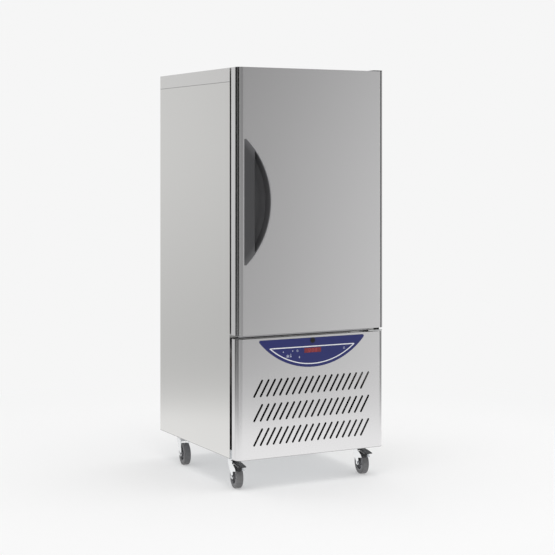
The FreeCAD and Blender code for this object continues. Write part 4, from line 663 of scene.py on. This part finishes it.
pick(strip, lower_long_edge, "EDGE")
bpy.ops.mesh.bevel(offset=STRIP_ROUND, segments=4)
settle(strip, "door_edge_strip", grey_plastic)
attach(strip, "door")
print("Strip", len(strip.data.polygons), "faces,", [round(v * 1000, 1) for v in strip.dimensions], "mm")

# %% [markdown]
# ## The door gasket
# A magnetic gasket is a soft extrusion: a foot that clips to the door, a narrow neck that folds, and a hollow
# head with a magnet in it. Its four lengths meet in mitres. A profile swept round a frame would do, but its
# corners need care. Insetting a flat rectangle leaves a mitred ring at once, and the ring is then drawn out
# from the door in short steps, some with an inset to make it narrower or an outset to make it wider. This
# stands for the plain ring of the drawing.

# %% Gasket
RING_LOW, RING_HIGH = at(32.0, 66.0, 558.0), at(718.0, 66.0, 1680.0)
RING_WIDTH = 0.024
# Each fold is how far the ring is drawn out, and then how much narrower it becomes on each side.
FOLDS = ((0.0030, 0.0), (0.0002, 0.0065), (0.0030, 0.0), (0.0002, -0.0055), (0.0022, 0.0), (0.0006, 0.0030),
         (0.0014, -0.0024), (0.0016, 0.0), (0.0009, 0.0020))
ring_middle = (RING_LOW + RING_HIGH) / 2
gasket = start("plane", size=1.0, location=ring_middle, rotation=(math.radians(-90.0), 0.0, 0.0))
bpy.ops.mesh.select_all(action="SELECT")
ring_size = (RING_HIGH.x - RING_LOW.x, 1.0, RING_HIGH.z - RING_LOW.z)
bpy.ops.transform.resize(value=ring_size, center_override=ring_middle)
bpy.ops.mesh.inset(thickness=RING_WIDTH)
bpy.ops.mesh.delete(type="FACE")
bpy.ops.mesh.select_all(action="SELECT")
for rise, narrower in FOLDS:
    bpy.ops.mesh.extrude_region_move(TRANSFORM_OT_translate={"value": (0.0, rise, 0.0)})
    if narrower:
        bpy.ops.mesh.inset(thickness=abs(narrower), use_outset=narrower < 0.0, use_boundary=True)
settle(gasket, "gasket_bellows", gasket_rubber)
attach(gasket, "door")
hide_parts("door_gasket")
print("Gasket", len(gasket.data.polygons), "faces,", [round(v * 1000, 1) for v in gasket.dimensions], "mm")

# %% [markdown]
# ## Rivets on the back
# The rear sheet is held along its foot and its head by dome-headed rivets, each with the small hollow that
# its pulled pin leaves. Half a sphere would have neither flange nor hollow, so one rivet is modelled from a
# cylinder: its outer face is inset and raised three times into a dome, and a last inset is pushed in. The
# others are copies, each with its own mesh.

# %% Rivets
RIVET_FACE = 853.9
RIVET_LEVELS = (540.0, 1640.0)
RIVET_FROM, RIVET_PITCH, RIVET_COUNT = 60.0, 90.0, 8
RIVET_RADIUS, FLANGE, HOLLOW_INSET, HOLLOW_DEPTH = 0.0042, 0.0004, 0.0004, 0.0005
# Each step of the dome is an inset, and then how far the face is raised.
DOME = ((0.0004, 0.0003), (0.0010, 0.0003), (0.0014, 0.00015))
first_place = at(RIVET_FROM, RIVET_FACE, RIVET_LEVELS[0])
rivet = start("cylinder", vertices=20, radius=RIVET_RADIUS, depth=FLANGE, location=first_place,
              rotation=(math.radians(-90.0), 0.0, 0.0))
pick(rivet, lambda mesh, face: face.normal.y > 0.9)
for inward, outward in DOME:
    bpy.ops.mesh.inset(thickness=inward)
    bpy.ops.transform.translate(value=(0.0, outward, 0.0))
bpy.ops.mesh.inset(thickness=HOLLOW_INSET)
bpy.ops.mesh.extrude_region_move(TRANSFORM_OT_translate={"value": (0.0, -HOLLOW_DEPTH, 0.0)})
settle(rivet, "rivet_0", bright_zinc)
bpy.ops.object.select_all(action="DESELECT")
rivet.select_set(True)
bpy.ops.object.shade_smooth_by_angle(angle=math.radians(40.0))
rivets = [rivet]
places = [at(RIVET_FROM + number * RIVET_PITCH, RIVET_FACE, up)
          for up in RIVET_LEVELS for number in range(RIVET_COUNT)]
for place in places[1:]:
    rivets.append(copied(rivet, "rivet_" + str(len(rivets)), place - first_place))
for piece in rivets:
    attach(piece, "cabinet")
print(len(rivets), "rivets")
